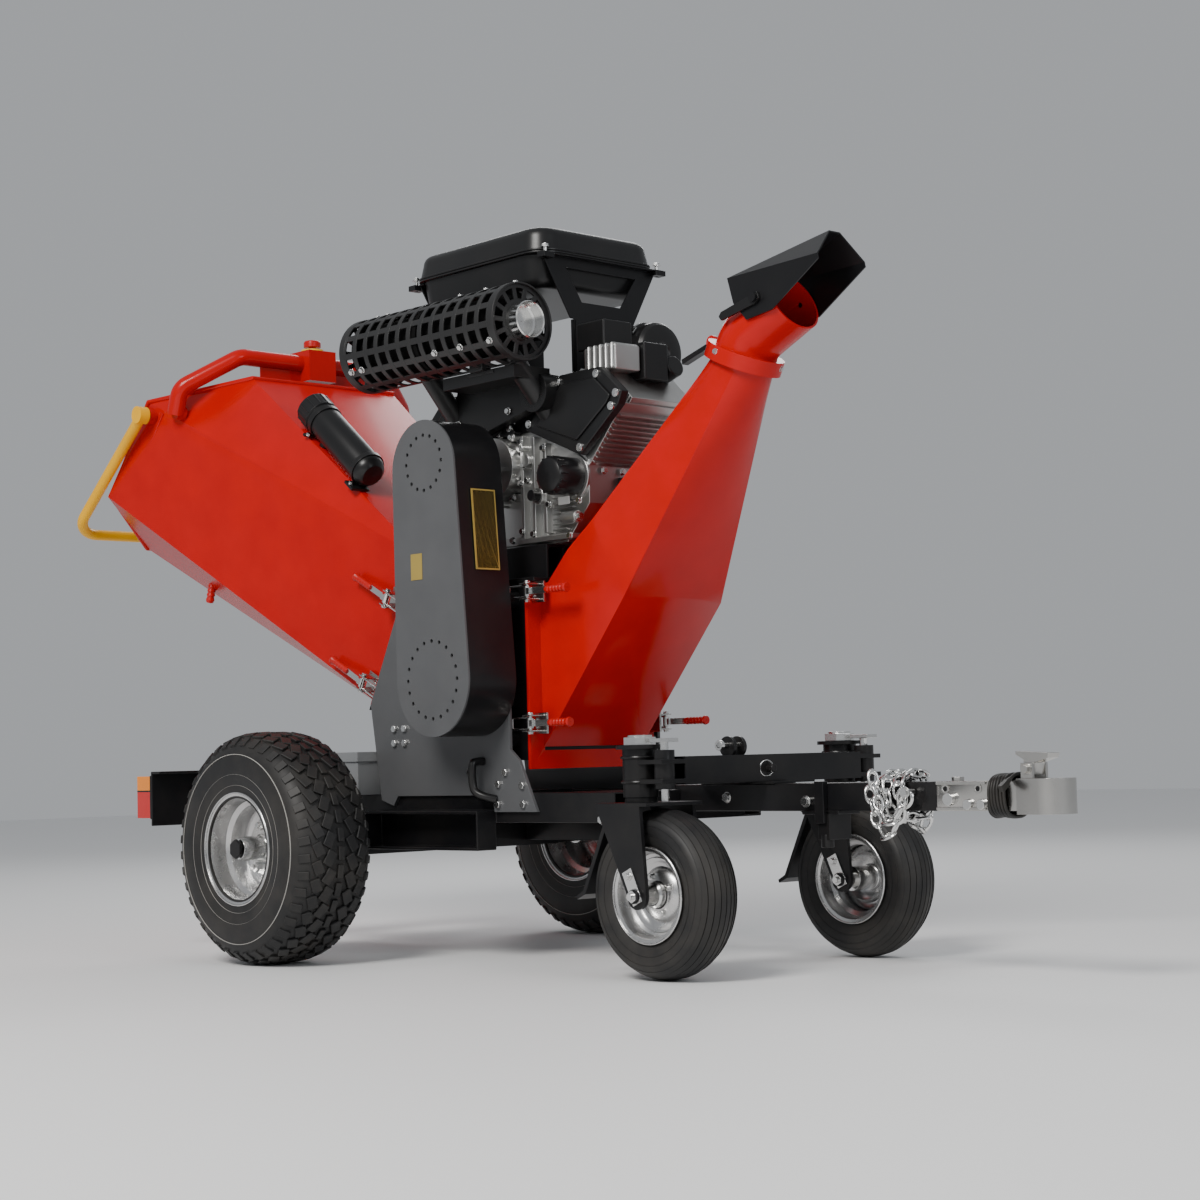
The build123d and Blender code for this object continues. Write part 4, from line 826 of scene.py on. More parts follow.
def makeBanks():
    fins, covers, bolts = bmesh.new(), bmesh.new(), bmesh.new()
    for side in (-1, 1):
        along = Vector((side * 0.697, 0, 0.717))
        level = Vector((-side * 0.717, 0, 0.697))
        root = at(engine["middle"] + side * 0.140, 0, 1.0125)
        for index in range(engine["fins"]):
            foot = root + along * (0.012 + index * engine["finPitch"])
            place = frameOf(foot, level, (0, 1, 0))
            addLocal(fins, place, (-0.061, -0.106, -engine["finThick"] / 2),
                     (0.061, 0.103, engine["finThick"] / 2))
        head = root + along * 0.150
        place = frameOf(head, level, (0, 1, 0))
        addLocal(covers, place, (-0.046, -0.088, -0.012 * side), (0.046, 0.086, 0.020 * side))
        for shift in range(-3, 4):
            addLocal(covers, place, (shift * 0.0125 - 0.002, -0.090, -0.010 * side),
                     (shift * 0.0125 + 0.002, 0.088, 0.0235 * side))
        for x, z in ((0.030, 1.072), (0.120, 1.146), (0.232, 1.147), (0.286, 1.102), (0.272, 1.078),
                     (0.180, 1.008)):
            addBolt(bolts, at(engine["middle"] + side * x, -0.131, z), (0, -1, 0), 0.0062, 0.005)
            addRod(bolts, at(engine["middle"] + side * x, -0.135, z), at(engine["middle"] + side * x,
                                                                         -0.1295, z),
                   0.0085)
    piece("cylinderFins", fins, "castAluminium", "root", edge=0.0005)
    piece("rockerCovers", covers, "castAluminium", "root", edge=0.0022)
    piece("bankCoverBolts", bolts, "brightSteel", "root", edge=0.0005)
    panel = bmesh.new()
    inner = [(0.052, 1.066), (0.134, 1.140), (0.226, 1.141), (0.272, 1.100), (0.262, 1.086), (0.172, 1.022)]
    for side in (-1, 1):
        addPlate(panel, [(engine["middle"] + side * x, z) for x, z in inner], -0.1365, -0.130)
    piece("bankCoverPanels", panel, "blackPlastic", "root", edge=0.003)
    box = bmesh.new()
    addBlock(box, at(0.592, -0.108, 1.155), at(0.682, -0.040, 1.206))
    for shift in range(5):
        addBlock(box, at(0.603 + shift * 0.0165, -0.111, 1.158), at(0.610 + shift * 0.0165, -0.038, 1.2095))
    piece("ribbedCover", box, "castAluminium", "root", edge=0.0045)
    coil = bmesh.new()
    addBlocks(coil, [
        (0.604, -0.036, 1.140, 0.690, 0.030, 1.215), (0.560, -0.098, 1.206, 0.640, -0.020, 1.262)])
    addRod(coil, at(0.640, 0.050, 1.160), at(0.690, 0.050, 1.175), 0.022, segments=30)
    piece("regulatorBox", coil, "blackPlastic", "root", edge=0.004)
    shroud = bmesh.new()
    spinProfile(shroud, [(0.001, -0.012), (0.060, -0.012), (0.074, -0.006), (0.078, 0.006), (0.078, 0.040),
                         (0.001, 0.040)],
                at(0.300, -0.150, 1.118), (0, 1, 0), steps=48)
    spinProfile(shroud, [(0.001, -0.012), (0.040, -0.012), (0.050, -0.006), (0.052, 0.006), (0.052, 0.040),
                         (0.001, 0.040)],
                at(0.500, -0.165, 1.128), (0, 1, 0), steps=48)
    addPlate(shroud, [(0.262, 1.170), (0.236, 1.100), (0.290, 1.052), (0.372, 1.072), (0.470, 1.095),
                      (0.520, 1.165)],
             -0.158, -0.132)
    addBlock(shroud, at(0.300, -0.230, 1.150), at(0.520, -0.135, 1.175))
    piece("coolingShroud", shroud, "blackPlastic", "root", edge=0.004)
    fastening = bmesh.new()
    for x, z in ((0.262, 1.092), (0.338, 1.068), (0.420, 1.100), (0.480, 1.150), (0.286, 1.160)):
        addBolt(fastening, at(x, -0.160, z), (0, -1, 0), 0.0060, 0.005)
    piece("shroudBolts", fastening, "brightSteel", "root", edge=0.0005)


def makeAirIntake():
    x0, x1 = engine["filterX"]
    y, z, radius = engine["filterY"], engine["filterZ"], engine["filterRadius"]
    shape = bmesh.new()
    spinProfile(shape, [(0, 0.001), (0, radius - 0.014), (0.006, radius - 0.004), (0.014, radius - 0.001),
                        (0.082, radius - 0.001), (0.084, radius + 0.001), (0.092, radius + 0.001),
                        (0.094, radius - 0.002), (0.120, radius - 0.003), (0.128, radius - 0.009),
                        (0.1315, radius - 0.022), (0.132, 0.020), (0.1295, 0.016), (0.1295, 0.001)],
                at(x0, y, z), (1, 0, 0), steps=72)
    addRod(shape, at(x1 - 0.026, y, z - 0.090), at(x1 - 0.026, y, z - 0.058), 0.017, tip=0.015, segments=28)
    addBlock(shape, at(x1 - 0.050, y - 0.010, z - 0.104), at(x1 - 0.004, y + 0.010, z - 0.086))
    addRod(shape, at(0.500, 0.100, 1.110), at(0.500, 0.100, 1.170), 0.030, segments=40)
    addRod(shape, at(0.500, 0.104, 1.128), at(0.430, 0.020, 1.128), 0.026, segments=36)
    addBlock(shape, at(0.362, -0.028, 1.062), at(0.468, 0.058, 1.128))
    addRod(shape, at(0.415, 0.015, 1.118), at(0.415, 0.015, 1.150), 0.034, segments=36)
    addBlock(shape, at(0.402, 0.012, 1.150), at(0.438, 0.040, 1.192))
    intake = piece("airCleaner", shape, "blackPlastic", "root", edge=0.0015, replaced=standFor("air_intake"))
    clips = bmesh.new()
    for turn in (20, 140, 260):
        out = roundX(radians(turn))
        place = frameOf(at(x0 + 0.088, y, z) + out * radius, (1, 0, 0), out)
        addLocal(clips, place, (-0.016, 0.000, -0.008), (0.014, 0.0035, 0.008))
    addBand(clips, 0.0865, 0.0905, radius + 0.0006, radius + 0.0022, at(x0, y, z), (1, 0, 0), 72)
    piece("airCleanerClips", clips, "brightSteel", "root", edge=0.0006)


def makeOilFilter():
    centre = at(0.558, -0.110, 0.955)
    shape = bmesh.new()
    spinProfile(shape, [(0, 0.001), (0, 0.036), (0.004, 0.038), (0.062, 0.038), (0.071, 0.034),
                        (0.0755, 0.026),
                        (0.0755, 0.001)], centre, (0, -1, 0), steps=60)
    for index in range(15):
        turn = 2 * pi * index / 15
        spot = roundY(turn) * 0.0365
        addRod(shape, centre + spot + Vector((0, -0.050, 0)), centre + spot + Vector((0, -0.068, 0)), 0.0026,
               segments=8)
    can = piece("oilFilterCan", shape, "blackPaint", "root", edge=0.0005, replaced=standFor("oil_filter"))


def makeBlowerScreen():
    # round intake screen on the far side
    shape = bmesh.new()
    centre = at(0.400, 0.215, 1.000)
    for radius in (0.022, 0.034, 0.046, 0.057):
        spinProfile(shape, [(0.004, radius - 0.0016), (0.008, radius - 0.0016), (0.008, radius + 0.0016),
                            (0.004, radius + 0.0016)], centre, (0, 1, 0), steps=48)
    for index in range(12):
        turn = 2 * pi * index / 12
        spoke = roundY(turn)
        addRod(shape, centre + spoke * 0.008 + Vector((0, 0.006, 0)), centre + spoke * 0.060
               + Vector((0, 0.006, 0)), 0.0017, segments=8)
    addRod(shape, centre, centre + Vector((0, 0.013, 0)), 0.014, segments=28)
    piece("blowerScreen", shape, "blackPaint", "root")
    bolts = bmesh.new()
    for turn in range(15, 375, 45):
        spoke = roundY(radians(turn))
        addBolt(bolts, centre + spoke * 0.138, (0, 1, 0), 0.006, 0.005)
        addBolt(bolts, centre + spoke * 0.0705 + Vector((0, 0.025, 0)), (0, 1, 0), 0.0035, 0.003)
    piece("blowerBolts", bolts, "brightSteel", "root", edge=0.0005)


def makeTankBrackets():
    shape = bmesh.new()
    outer = [(-0.133, 1.4135), (0.186, 1.4135), (0.116, 1.288), (-0.058, 1.288)]
    inner = [(-0.068, 1.390), (0.126, 1.390), (0.082, 1.324), (-0.026, 1.324)]
    for x in (0.106, 0.498):
        addFramedPlate(shape, outer, inner, x, x + 0.004)
        addBlock(shape, at(x, -0.133, 1.4105), at(x + 0.018 if x < 0.3 else x + 0.020, 0.186, 1.4135))
    addBlocks(shape, [
        (0.106, -0.060, 1.296, 0.330, 0.020, 1.300), (0.326, -0.060, 1.060, 0.330, 0.020, 1.300),
        (0.498, -0.048, 1.060, 0.502, 0.080, 1.290), (0.490, -0.048, 1.060, 0.502, -0.044, 1.288)])
    brackets = piece("tankBrackets", shape, "blackPaint", "root", edge=0.0012,
                     replaced=standFor("tank_brackets"))
    bolts = bmesh.new()
    for y, z in ((-0.030, 1.120), (0.060, 1.120), (-0.030, 1.180), (0.060, 1.180)):
        addBolt(bolts, at(0.502, y, z), (1, 0, 0), 0.0065, 0.005)
    piece("tankBracketBolts", bolts, "brightSteel", "root", edge=0.0005)


makeCrankcaseDetail()
makeBanks()
makeAirIntake()
makeOilFilter()
makeBlowerScreen()
makeTankBrackets()
print("stage: engine")

# belt guard: blank plates and the lifting handle on the near side
def makeGuardPlates():
    rim = bmesh.new()
    addBlock(rim, at(0.310, -0.3312, 0.760), at(0.345, -0.3298, 0.812))
    piece("guardBlankPlate", rim, "goldPlate", "root", edge=0.0004)
    slope = frameOf(at(0.4622, -0.2640, 0.852), (-0.069, 0, 1), (0, 1, 0))
    label, inlay = bmesh.new(), bmesh.new()
    addLocal(label, slope, (-0.080, -0.030, -0.0020), (0.080, 0.030, 0.0006))
    addLocal(inlay, slope, (-0.077, -0.027, -0.0020), (0.077, 0.027, 0.0010))
    piece("guardLabelRim", label, "goldPlate", "root")
    piece("guardLabelField", inlay, "blackPaint", "root")
    handle = [at(0.374, -0.209, 0.398), at(0.374, -0.232, 0.398), at(0.374, -0.238, 0.392),
              at(0.374, -0.238, 0.352), at(0.380, -0.236, 0.336), at(0.400, -0.224, 0.326),
              at(0.412, -0.209, 0.322)]
    tubeAlong("sideHandle", handle, 0.0085, "blackPlastic", "root")


makeGuardPlates()

# toggle latches: cheeks, pin, wire bail and a lever with a red grip
latch = dict(chuteX=0.495, chuteY=0.187, chuteZ=(0.470, 0.730), flangeFoot=(-0.016, 0.521), tilt=27,
             hopperRun=(0.040, 0.235), hopperOff=0.034, hopperY=0.202, bail=0.052, wire=0.0021)


def latchPlaces(side):
    for z in latch["chuteZ"]:
        yield ("chute", at(latch["chuteX"], side * latch["chuteY"], z), Vector((1, 0, 0)), Vector((0, 0, 1)))
    tilt = radians(latch["tilt"])
    along, out = Vector((sin(tilt), 0, cos(tilt))), Vector((-cos(tilt), 0, sin(tilt)))
    footX, footZ = latch["flangeFoot"]
    for run in latch["hopperRun"]:
        spot = at(footX, side * latch["hopperY"], footZ) + along * run + out * latch["hopperOff"]
        yield ("hopper", spot, out, along)


def addSlab(shape, place, facing, low, high):
    # the third measure is taken away from the wall, whichever side that is
    near, far = sorted((low[2] * facing, high[2] * facing))
    addLocal(shape, place, (*low[:2], near), (*high[:2], far))


def makeLatches(hand, side):
    # three groups: what is bolted on, and the levers of each pair
    bolted, screws = bmesh.new(), bmesh.new()
    levers = {"chute": (bmesh.new(), bmesh.new()), "hopper": (bmesh.new(), bmesh.new())}
    for index, (kind, spot, lever, hinge) in enumerate(latchPlaces(side)):
        place = frameOf(spot, lever, hinge)
        facing = 1 if (place.to_3x3() @ Vector((0, 0, 1))).y * side > 0 else -1
        foot = -0.030 if kind == "hopper" else -0.034
        addSlab(bolted, place, facing, (-0.020, -0.021, foot), (0.016, 0.021, foot + 0.005))
        for edge in (-1, 1):
            addSlab(bolted, place, facing, (-0.016, edge * 0.0152 - 0.0013, foot),
                    (0.008, edge * 0.0152 + 0.0013, 0.008))
            tip = place @ Vector((0, edge * 0.0165, 0))
            axis = place.to_3x3() @ Vector((0, edge, 0))
            addBolt(screws, tip, axis, 0.0055, 0.0035)
            out = place.to_3x3() @ Vector((0, 0, facing))
            addBolt(screws, place @ Vector((-0.013, edge * 0.008, (foot + 0.005) * facing)), out, 0.0034,
                    0.003)
        addRod(screws, place @ Vector((0, -0.0165, 0)), place @ Vector((0, 0.0165, 0)), 0.0035)
        strap, grip = levers[kind]
        addSlab(strap, place, facing, (0.004, -0.0065, -0.0015), (0.062, 0.0065, 0.0018))
        addBand(strap, -0.010, 0.010, 0.0038, 0.0068, spot, hinge, 24)
        addSlab(strap, place, facing, (0.000, -0.0065, -0.004), (0.012, 0.0065, 0.0062))
        outline = [(0.056, 0.001), (0.056, 0.0060), (0.062, 0.0078)]
        for ridge in range(5):
            outline += [(0.066 + ridge * 0.009, 0.0078), (0.0685 + ridge * 0.009, 0.0066)]
        outline += [(0.110, 0.0082), (0.114, 0.0098), (0.118, 0.0086), (0.118, 0.001)]
        spinProfile(grip, outline, spot, lever, steps=20)
        rear, width, lift = -latch["bail"], 0.0112, 0.001 * facing
        loop = [(0.002, -width, lift), (rear * 0.5, -width, lift), (rear + 0.006, -width, lift),
                (rear, -width, lift),
                (rear, -width + 0.006, lift), (rear, width - 0.006, lift), (rear, width, lift),
                (rear + 0.006, width, lift), (rear * 0.5, width, lift), (0.002, width, lift)]
        tubeAlong(f"latchBail_{hand}_{index}", [place @ Vector(corner) for corner in loop], latch["wire"],
                  "brightSteel", "root")
    piece(f"latchPlates_{hand}", bolted, "zincSteel", "root", edge=0.0006,
          replaced=standFor("latch_bodies") if hand == "right" else ())
    piece(f"latchScrews_{hand}", screws, "brightSteel", "root", edge=0.0004)
    for kind, (strap, grip) in levers.items():
        node = f"{kind}_latch_{hand}"
        arm = piece(f"{kind}LatchLever_{hand}", strap, "brightSteel", bodyOf(node), edge=0.0006,
                    replaced=standFor(node))
        piece(f"{kind}LatchGrip_{hand}", grip, "redGrip", bodyOf(node))


for hand, side in (("right", -1), ("left", 1)):
    makeLatches(hand, side)
print("stage: latches")

# canister for papers: ribbed cap, band clamps and feet
canister = dict(radius=0.037, capRadius=0.041)


def makeCanister():
    roofFrom, roofTo = Vector((-0.420, 0, 1.280)), Vector((-0.016 + 0.340 * sin(radians(27)), 0,
                                                            0.521 + 0.340 * cos(radians(27))))
    run = (roofTo - roofFrom).normalized()
    lift = Vector((-run.z, 0, run.x))
    start = at(-0.270, -0.165, 1.280 - 0.1226) + lift * 0.046
    radius, capRadius = canister["radius"], canister["capRadius"]
    shape = bmesh.new()
    spinProfile(shape, [(0.020, 0.001), (0.020, radius), (0.258, radius), (0.270, radius - 0.004),
                        (0.278, radius - 0.013), (0.280, 0.001)], start, run, steps=56)
    spinProfile(shape, [(0.000, 0.001), (0.000, capRadius - 0.006), (0.004, capRadius - 0.002),
                        (0.044, capRadius - 0.001), (0.046, capRadius - 0.004), (0.046, 0.001)], start, run,
                        steps=56)
    for index in range(14):
        turn = Matrix.Rotation(2 * pi * index / 14, 4, run)
        spot = turn @ (lift * (capRadius - 0.0022))
        addRod(shape, start + spot + run * 0.006, start + spot + run * 0.042, 0.0026, segments=8)
    for along in (0.060, 0.250):
        addBand(shape, along - 0.006, along + 0.006, radius - 0.001, radius + 0.003, start, run, 56)
    for along in (0.090, 0.250):
        addRod(shape, start + run * along - lift * 0.030, start + run * along - lift * 0.0505, 0.011)
    for along, end in ((0.060, -1), (0.252, 1)):
        place = frameOf(start + run * along - lift * 0.041, run, (0, 1, 0))
        addLocal(shape, place, (-0.010, -0.036, -0.003), (0.010 + 0.012 * end, 0.012, 0.003))
    tube = piece("paperCanister", shape, "blackPlastic", "root", edge=0.0006,
                 replaced=standFor("manual_canister"))
    bolts = bmesh.new()
    for along in (0.060, 0.256):
        addBolt(bolts, start + run * along - lift * 0.038 + Vector((0, -0.029, 0)), lift, 0.005, 0.004)
    piece("paperCanisterBolts", bolts, "brightSteel", "root", edge=0.0004)


makeCanister()

# hopper: rolled mouth edge, fold lines and the ribbed grip under the floor
hopper = dict(corners=dict(top=(-0.660, 1.246, 0.325), low=(-0.827, 1.042, 0.325),
                           floor=(-0.875, 0.930, 0.200),
                           roof=(-0.420, 1.280, 0.200)), edge=0.0055, fold=0.055)


def makeHopperTrim():
    shape = bmesh.new()
    for side in (-1, 1):
        corners = {key: at(x, side * half, z) for key, (x, z, half) in hopper["corners"].items()}
        for first, second in (("roof", "top"), ("top", "low"), ("low", "floor")):
            addRod(shape, corners[first], corners[second], hopper["edge"], segments=14)
        for corner in corners.values():
            bmesh.ops.create_uvsphere(shape, u_segments=12, v_segments=8, radius=hopper["edge"],
                                      matrix=Matrix.Translation(corner))
        forward = Vector((0.82, 0, -0.57)) * hopper["fold"]
        inward = Vector((0, -side * 0.0095, 0))
        addRod(shape, corners["top"] + forward + inward, corners["low"] + forward + inward, 0.0030,
               segments=10)
    for key in ("floor", "roof"):
        x, z, half = hopper["corners"][key]
        addRod(shape, at(x, -half, z), at(x, half, z), hopper["edge"], segments=14)
    trim = piece("hopperRolledEdge", shape, "redPaint", "root", sharp=60)
    grip = bmesh.new()
    outline = [(0.000, 0.001), (0.000, 0.0065), (0.012, 0.0065)]
    for ridge in range(7):
        outline += [(0.014 + ridge * 0.010, 0.0098), (0.019 + ridge * 0.010, 0.0080)]
    outline += [(0.086, 0.0100), (0.092, 0.0080), (0.094, 0.001)]
    spinProfile(grip, outline, at(-0.560, -0.215, 0.868), (-0.28, 0, -0.96), steps=24)
    piece("floorGrip", grip, "redGrip", "root")


makeHopperTrim()
print("stage: hopper")

# casters: bright axle heads, slotted adjuster tab, welds on the beam posts
def makeCasterDetail(hand, side):
    axleAt = Vector(middleOf(f"caster_tyre_{hand}"))
    shape = bmesh.new()
    for face in (-1, 1):
        seat = axleAt + Vector((0, face * 0.0715, 0))
        tab = frameOf(seat, (-0.42, 0, 0.91), (0, face, 0))
        addLocal(shape, tab, (-0.014, 0.0, -0.0125), (0.050, 0.0035, 0.0125))
        addBolt(shape, seat + Vector((0, face * 0.0035, 0)), (0, face, 0), 0.0115, 0.008)
        addRod(shape, seat, seat + Vector((0, face * 0.019, 0)), 0.0062)
        addBolt(shape, seat + Vector((-0.42, 0, 0.91)) * 0.038 + Vector((0, face * 0.0035, 0)),
                (0, face, 0), 0.0062,
                0.005)
    piece(f"casterAxleTabs_{hand}", shape, "brightSteel", bodyOf(f"caster_fork_{hand}"), edge=0.0006)
    collar = bmesh.new()
    for face in (-1, 1):
        spinProfile(collar, [(0.040, 0.0085), (0.040, 0.0170), (0.062, 0.0170), (0.062, 0.0085)], axleAt,
                    (0, face, 0), steps=36)
    piece(f"casterSpacers_{hand}", collar, "zincSteel", bodyOf(f"caster_fork_{hand}"), edge=0.0008)
    brakeBits = bmesh.new()
    pivot = at(0.833, side * 0.273, 0.287)
    for face in (-1, 1):
        addBolt(brakeBits, pivot + Vector((0, face * 0.0405, 0)), (0, face, 0), 0.0075, 0.006)
    piece(f"casterBrakeBolts_{hand}", brakeBits, "brightSteel", bodyOf(f"caster_fork_{hand}"), edge=0.0005)
    weld = bmesh.new()
    for level in (0.3535, 0.3980):
        addRing(weld, at(0.893, side * 0.273, level), (0, 0, 1), 0.0335, 0.0028, steps=32, sides=8)
    piece(f"postWelds_{hand}", weld, "blackPaint", "root")


for hand, side in (("right", -1), ("left", 1)):
    makeCasterDetail(hand, side)

# front beam: round lugs, hitch pin, cross pin with its split ring
def makeBeamDetail():
    lugs = bmesh.new()
    for y in (-0.102, -0.076):
        addBand(lugs, -0.0038, 0.0038, 0.0075, 0.0195, at(0.950, y, 0.4130), (0, 1, 0), 36)
    piece("hitchLugs", lugs, "blackPaint", "root", edge=0.0006)
    bright = bmesh.new()
    addRod(bright, at(0.950, -0.128, 0.4158), at(0.950, -0.064, 0.4158), 0.0058)
    addRod(bright, at(0.950, -0.128, 0.4158), at(0.950, -0.120, 0.4158), 0.0095, segments=20)
    addRing(bright, at(0.950, -0.066, 0.4158), (1, 0, 0), 0.010, 0.0014, steps=24, sides=6)
    addRing(bright, at(0.9775, -0.030, 0.3720), (0.96, -0.26, 0), 0.0145, 0.0015, steps=32, sides=8)
    addRod(bright, at(1.080, -0.0255, 0.310), at(1.080, -0.0375, 0.310), 0.0085)
    addBolt(bright, at(1.080, -0.0370, 0.310), (0, -1, 0), 0.0085, 0.006)
    addBolt(bright, at(0.870, -0.0255, 0.318), (0, -1, 0), 0.0085, 0.006)
    piece("beamPins", bright, "brightSteel", "root", edge=0.0005)
    dark = bmesh.new()
    addRod(dark, at(0.970, -0.022, 0.372), at(0.990, -0.022, 0.372), 0.0075)
    addBlocks(dark, [
        (1.100, -0.038, 0.270, 1.122, -0.0254, 0.346), (1.100, -0.030, 0.240, 1.128, 0.030, 0.292)])
    addRod(dark, at(1.114, -0.020, 0.226), at(1.114, -0.020, 0.250), 0.012)
    addBlock(dark, at(1.062, -0.030, 0.286), at(1.150, 0.030, 0.293))
    piece("drawbarStop", dark, "blackPaint", "root", edge=0.0014)


makeBeamDetail()
print("stage: casters and beam")

# tow end: lighting cable wound on the drawbar, chains, coupler detail
cable = dict(start=1.4862, turns=7, pitch=0.0061, half=0.0356, radius=0.003, pointsPerTurn=16, middleZ=0.3174,
             length=1.62)


def roundedSquare(turn, half):
    c, s = abs(cos(turn)), abs(sin(turn))
    reach = half / (c ** 3 + s ** 3) ** (1 / 3)
    return reach * cos(turn), reach * sin(turn)


def makeCable():
    route = []
    steps = cable["turns"] * cable["pointsPerTurn"] - 2
    for step in range(steps + 1):
        turn = pi + 2 * pi * step / cable["pointsPerTurn"]
        loose = 0.0009 * sin(step * 0.83) + 0.0006 * sin(step * 0.31)
        half = cable["half"] + loose
        if step < 3:
            half = (0.0262, 0.0295, 0.0340)[step]
        y, z = roundedSquare(turn, half)
        drift = cable["pitch"] * step / cable["pointsPerTurn"]
        if step > steps - 8:
            drift += 0.0006 * (step - steps + 8)
        route.append(at(cable["start"] + drift, y, cable["middleZ"] + z))
    cord = tubeAlong("lightingCable", route, cable["radius"], "beltRubber", "root", resolution=3)
    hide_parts(*standFor("light_cable"))
    end = route[-1]
    heading = (route[-1] - route[-2]).normalized()
    plug = bmesh.new()
    spinProfile(plug, [(-0.0005, 0.001), (-0.0005, 0.0036), (0.010, 0.0050), (0.012, 0.0050),
                       (0.012, 0.001)], end,
                heading, steps=24)
    place = frameOf(end, heading, (1, 0, 0))
    addLocal(plug, place, (0.011, -0.0045, -0.0055), (0.034, 0.0045, 0.0055))
    plugPiece = piece("lightingPlug", plug, "beltRubber", "root", edge=0.0008)


chain = dict(wire=0.0030, link=0.0082, stretch=1.7, pitch=0.0225, wraps=4, half=0.0375,
             loops=[((1.240, 0.322), (1.318, 0.316), 0.070, -0.0460),
                    ((1.256, 0.350), (1.322, 0.306), 0.052, -0.0560),
                    ((1.246, 0.318), (1.312, 0.322), 0.062, 0.0470)])


def makeLinkMesh():
    shape = bmesh.new()
    addRing(shape, (0, 0, 0), (0, 0, 1), chain["link"], chain["wire"], steps=12, sides=6)
    for vert in shape.verts:
        vert.co.x *= chain["stretch"]
    mesh = bpy.data.meshes.new("chainLink")
    shape.to_mesh(mesh)
    shape.free()
    return mesh


def layChain(shape, link, route):
    # links follow the route a pitch apart, each turned a quarter from the last
    samples = list(route)
    travelled, count = chain["pitch"], 0
    for before, after in zip(samples, samples[1:]):
        travelled += (after - before).length
        if travelled < chain["pitch"]:
            continue
        travelled -= chain["pitch"]
        heading = (after - before).normalized()
        side = heading.orthogonal().normalized()
        turn = Matrix.Rotation(radians(90 * (count % 2) + 20 * sin(count)), 3, heading)
        place = frameOf(after, heading, turn @ side)
        count += 1
        known = len(shape.verts)
        shape.from_mesh(link)
        shape.verts.ensure_lookup_table()
        bmesh.ops.transform(shape, matrix=place, verts=shape.verts[known:])


def wrappedChain():
    for index in range(601):
        part = index / 600
        turn = 2 * pi * chain["wraps"] * part
        y, z = roundedSquare(turn, chain["half"] + 0.0025 * sin(turn * 0.7))
        yield at(1.252 + 0.064 * part + 0.004 * sin(turn * 1.3), y, cable["middleZ"] + z)


def hangingChain(first, second, sag, y):
    for index in range(601):
        part = index / 600
        x = first[0] + (second[0] - first[0]) * part
        z = first[1] + (second[1] - first[1]) * part - 4 * sag * part * (1 - part)
        yield at(x, y - 0.006 * sin(pi * part), z)


def makeChains():
    link = makeLinkMesh()
    shape = bmesh.new()
    layChain(shape, link, wrappedChain())
    for first, second, sag, y in chain["loops"]:
        layChain(shape, link, hangingChain(first, second, sag, y))
    bpy.data.meshes.remove(link)
    heap = piece("safetyChains", shape, "brightSteel", "root", replaced=standFor("safety_chains"), sharp=60)
    hooks = bmesh.new()
    for y in (-0.046, 0.046):
        addRing(hooks, at(1.322, y, 0.312), (0, 1, 0), 0.011, 0.0034, steps=28, sides=8, stretch=1.3)
        addRod(hooks, at(1.322, y * 0.62, 0.325), at(1.322, y * 1.10, 0.325), 0.0065)
        addBolt(hooks, at(1.322, y * 1.08, 0.325), (0, y, 0), 0.0085, 0.005)
    piece("chainHooks", hooks, "brightSteel", "root", edge=0.0004)


def makeCouplerDetail():
    shape = bmesh.new()
    for y in (-1, 1):
        for x in (1.392, 1.462):
            addBand(shape, 0, 0.0012, 0.0045, 0.0085, at(x, y * 0.0254, 0.330), (0, y, 0), 24)
        addBlocks(shape, [
            (1.373, y * 0.0268 - 0.0016, 0.2935, 1.479, y * 0.0268 + 0.0016, 0.2985),
            (1.373, y * 0.0268 - 0.0016, 0.3370, 1.479, y * 0.0268 + 0.0016, 0.3420)])
        addBolt(shape, at(1.562, y * 0.0222, 0.362), (0, y, 0), 0.0078, 0.006)
    addRod(shape, at(1.400, 0, 0.342), at(1.400, 0, 0.350), 0.011, segments=6)
    piece("couplerRibs", shape, "zincSteel", "root", edge=0.0006)
    # black discs in the side bores: painted shade standing for the dark inside of the holes
    boreShadeDiscs = bmesh.new()
    for y in (-1, 1):
        for x in (1.392, 1.462):
            addRod(boreShadeDiscs, at(x, y * 0.0250, 0.330), at(x, y * 0.0257, 0.330), 0.0050)
    piece("couplerBoreShade", boreShadeDiscs, "blackPaint", "root")


makeCable()
makeChains()
makeCouplerDetail()
print("stage: tow end")

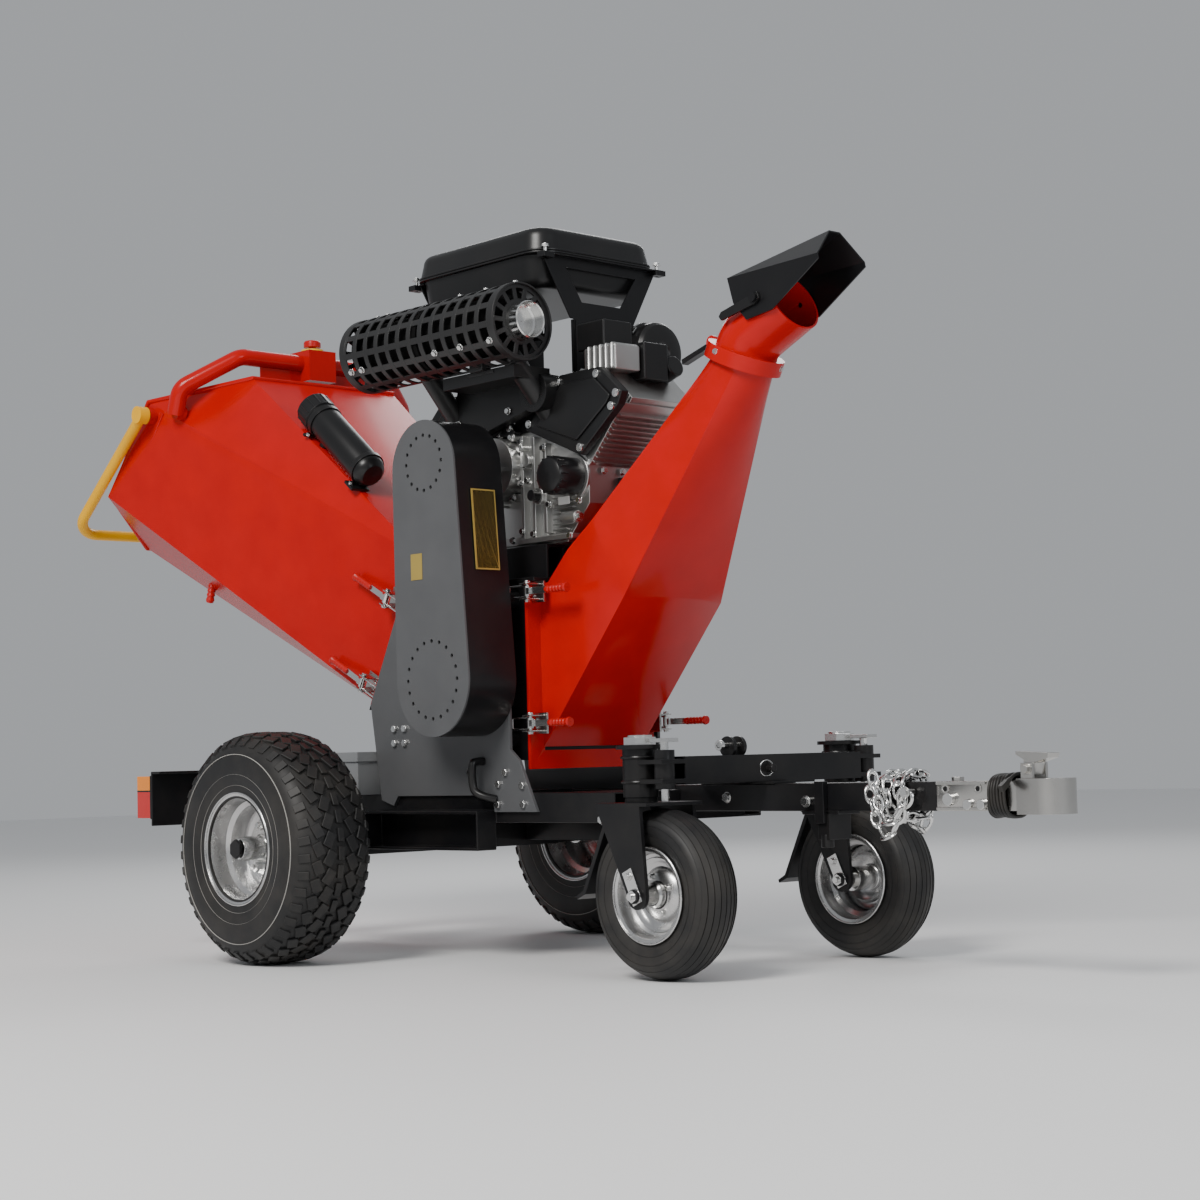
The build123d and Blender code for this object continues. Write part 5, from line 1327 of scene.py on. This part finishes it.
# lamps and bar
def makeLampDetail():
    red, amber, ribs = bmesh.new(), bmesh.new(), bmesh.new()
    for side in (-1, 1):
        middle = side * 0.414
        addBlock(red, at(-0.5135, middle - 0.0445, 0.2925), at(-0.4600, middle + 0.0445, 0.3505))
        addBlock(amber, at(-0.5135, middle - 0.0445, 0.3525), at(-0.4600, middle + 0.0445, 0.3840))
        for index in range(7):
            z = 0.2965 + index * 0.0080
            addBlock(red, at(-0.5146, middle - 0.0430, z), at(-0.5120, middle + 0.0430, z + 0.0022))
        for index in range(3):
            z = 0.3570 + index * 0.0085
            addBlock(amber, at(-0.5146, middle - 0.0430, z), at(-0.5120, middle + 0.0430, z + 0.0022))
        addBlock(ribs, at(-0.5125, middle - 0.0450, 0.3500), at(-0.4605, middle + 0.0450, 0.3530))
    lamps = piece("brakeLenses", red, "lampRed", "root", edge=0.0022, replaced=standFor("tail_lights"))
    piece("indicatorLenses", amber, "lampAmber", "root", edge=0.0022)
    piece("lensDividers", ribs, "blackPlastic", "root", edge=0.0004)
    bolts = bmesh.new()
    for side in (-1, 1):
        for y in (0.300, 0.345):
            addBolt(bolts, at(-0.420, side * y, 0.338), (1, 0, 0), 0.0055, 0.004)
            addRod(bolts, at(-0.4565, side * y, 0.338), at(-0.4535, side * y, 0.338), 0.0055)
    piece("lightBarBolts", bolts, "brightSteel", "root", edge=0.0004)
    frames = bmesh.new()
    for side in (-1, 1):
        low = at(-0.4600, side * 0.414 - 0.0465, 0.2905)
        high = at(-0.4540, side * 0.414 + 0.0465, 0.3855)
        addBlock(frames, low, high)
    piece("lampBases", frames, "blackPlastic", "root", edge=0.002)


makeLampDetail()

# clamp ring screws on the elbow
def makeElbowDetail():
    tilt = radians(26)
    axis = Vector((sin(tilt), 0, cos(tilt)))
    centre = at(0.925, 0, 1.150) + axis * 0.004
    ears = bmesh.new()
    for turn in (25, 145, 265):
        ray = Matrix.Rotation(radians(turn), 3, axis) @ Vector((cos(tilt), 0, -sin(tilt)))
        addBolt(ears, centre + ray * 0.0745, ray, 0.0050, 0.0035)
    piece("clampScrews", ears, "brightSteel", bodyOf("elbow"), edge=0.0004)


makeElbowDetail()

# finishes of the nodes that keep their CAD shape
postTop = 0.4235
special.update(
    chassis_frame=dict(edge=0.0022), drawbar=dict(edge=0.0022), rear_axle=dict(edge=0.002),
    light_bar=dict(edge=0.0016), front_beam=dict(edge=0.0018), engine_deck=dict(edge=0.0018),
    battery_box=dict(look="greyPaint", edge=0.0025),
    housing_side_plates=dict(edge=0.0014), housing_shell=dict(look="blackPaint", edge=0.0018),
    belt_guard_case=dict(edge=0.0012), belt_guard_cover=dict(edge=0.0012),
    engine_block=dict(edge=0.0035), engine_cowling=dict(edge=0.003),
    discharge_chute=dict(edge=0.0018), elbow=dict(edge=0.0014),
    hopper=dict(edge=0.0014), hopper_hoop=dict(edge=0.0008),
    elbow_lever=dict(look="blackPlastic", edge=0.001), hood_lever=dict(look="blackPlastic", edge=0.0008),
    hood=dict(edge=0.0006),
    switch_box=dict(edge=0.002,
                    extra=[("yellowPlastic", lambda c: c.z > 1.3645)]),
    stop_button=dict(edge=0.001),
    caster_brake_right=dict(edge=0.001), caster_brake_left=dict(edge=0.001),
    lock_pin_right=dict(look="brightSteel", edge=0.001), lock_pin_left=dict(look="brightSteel", edge=0.001),
    caster_fork_right=dict(edge=0.0014, extra=[("brightSteel", lambda c: c.z > postTop)]),
    caster_fork_left=dict(edge=0.0014, extra=[("brightSteel", lambda c: c.z > postTop)]),
    coupler=dict(edge=0.0014), coupler_lever=dict(edge=0.001),
    fasteners=dict(look="brightSteel", edge=0.0008), feed_bar=dict(edge=0.0008),
)


# every other CAD node gets its finish and eased edges
for node in frame["nodes"]:
    if node not in detailed:
        refine(node, **special.get(node, {}))
print("stage: frame skins")
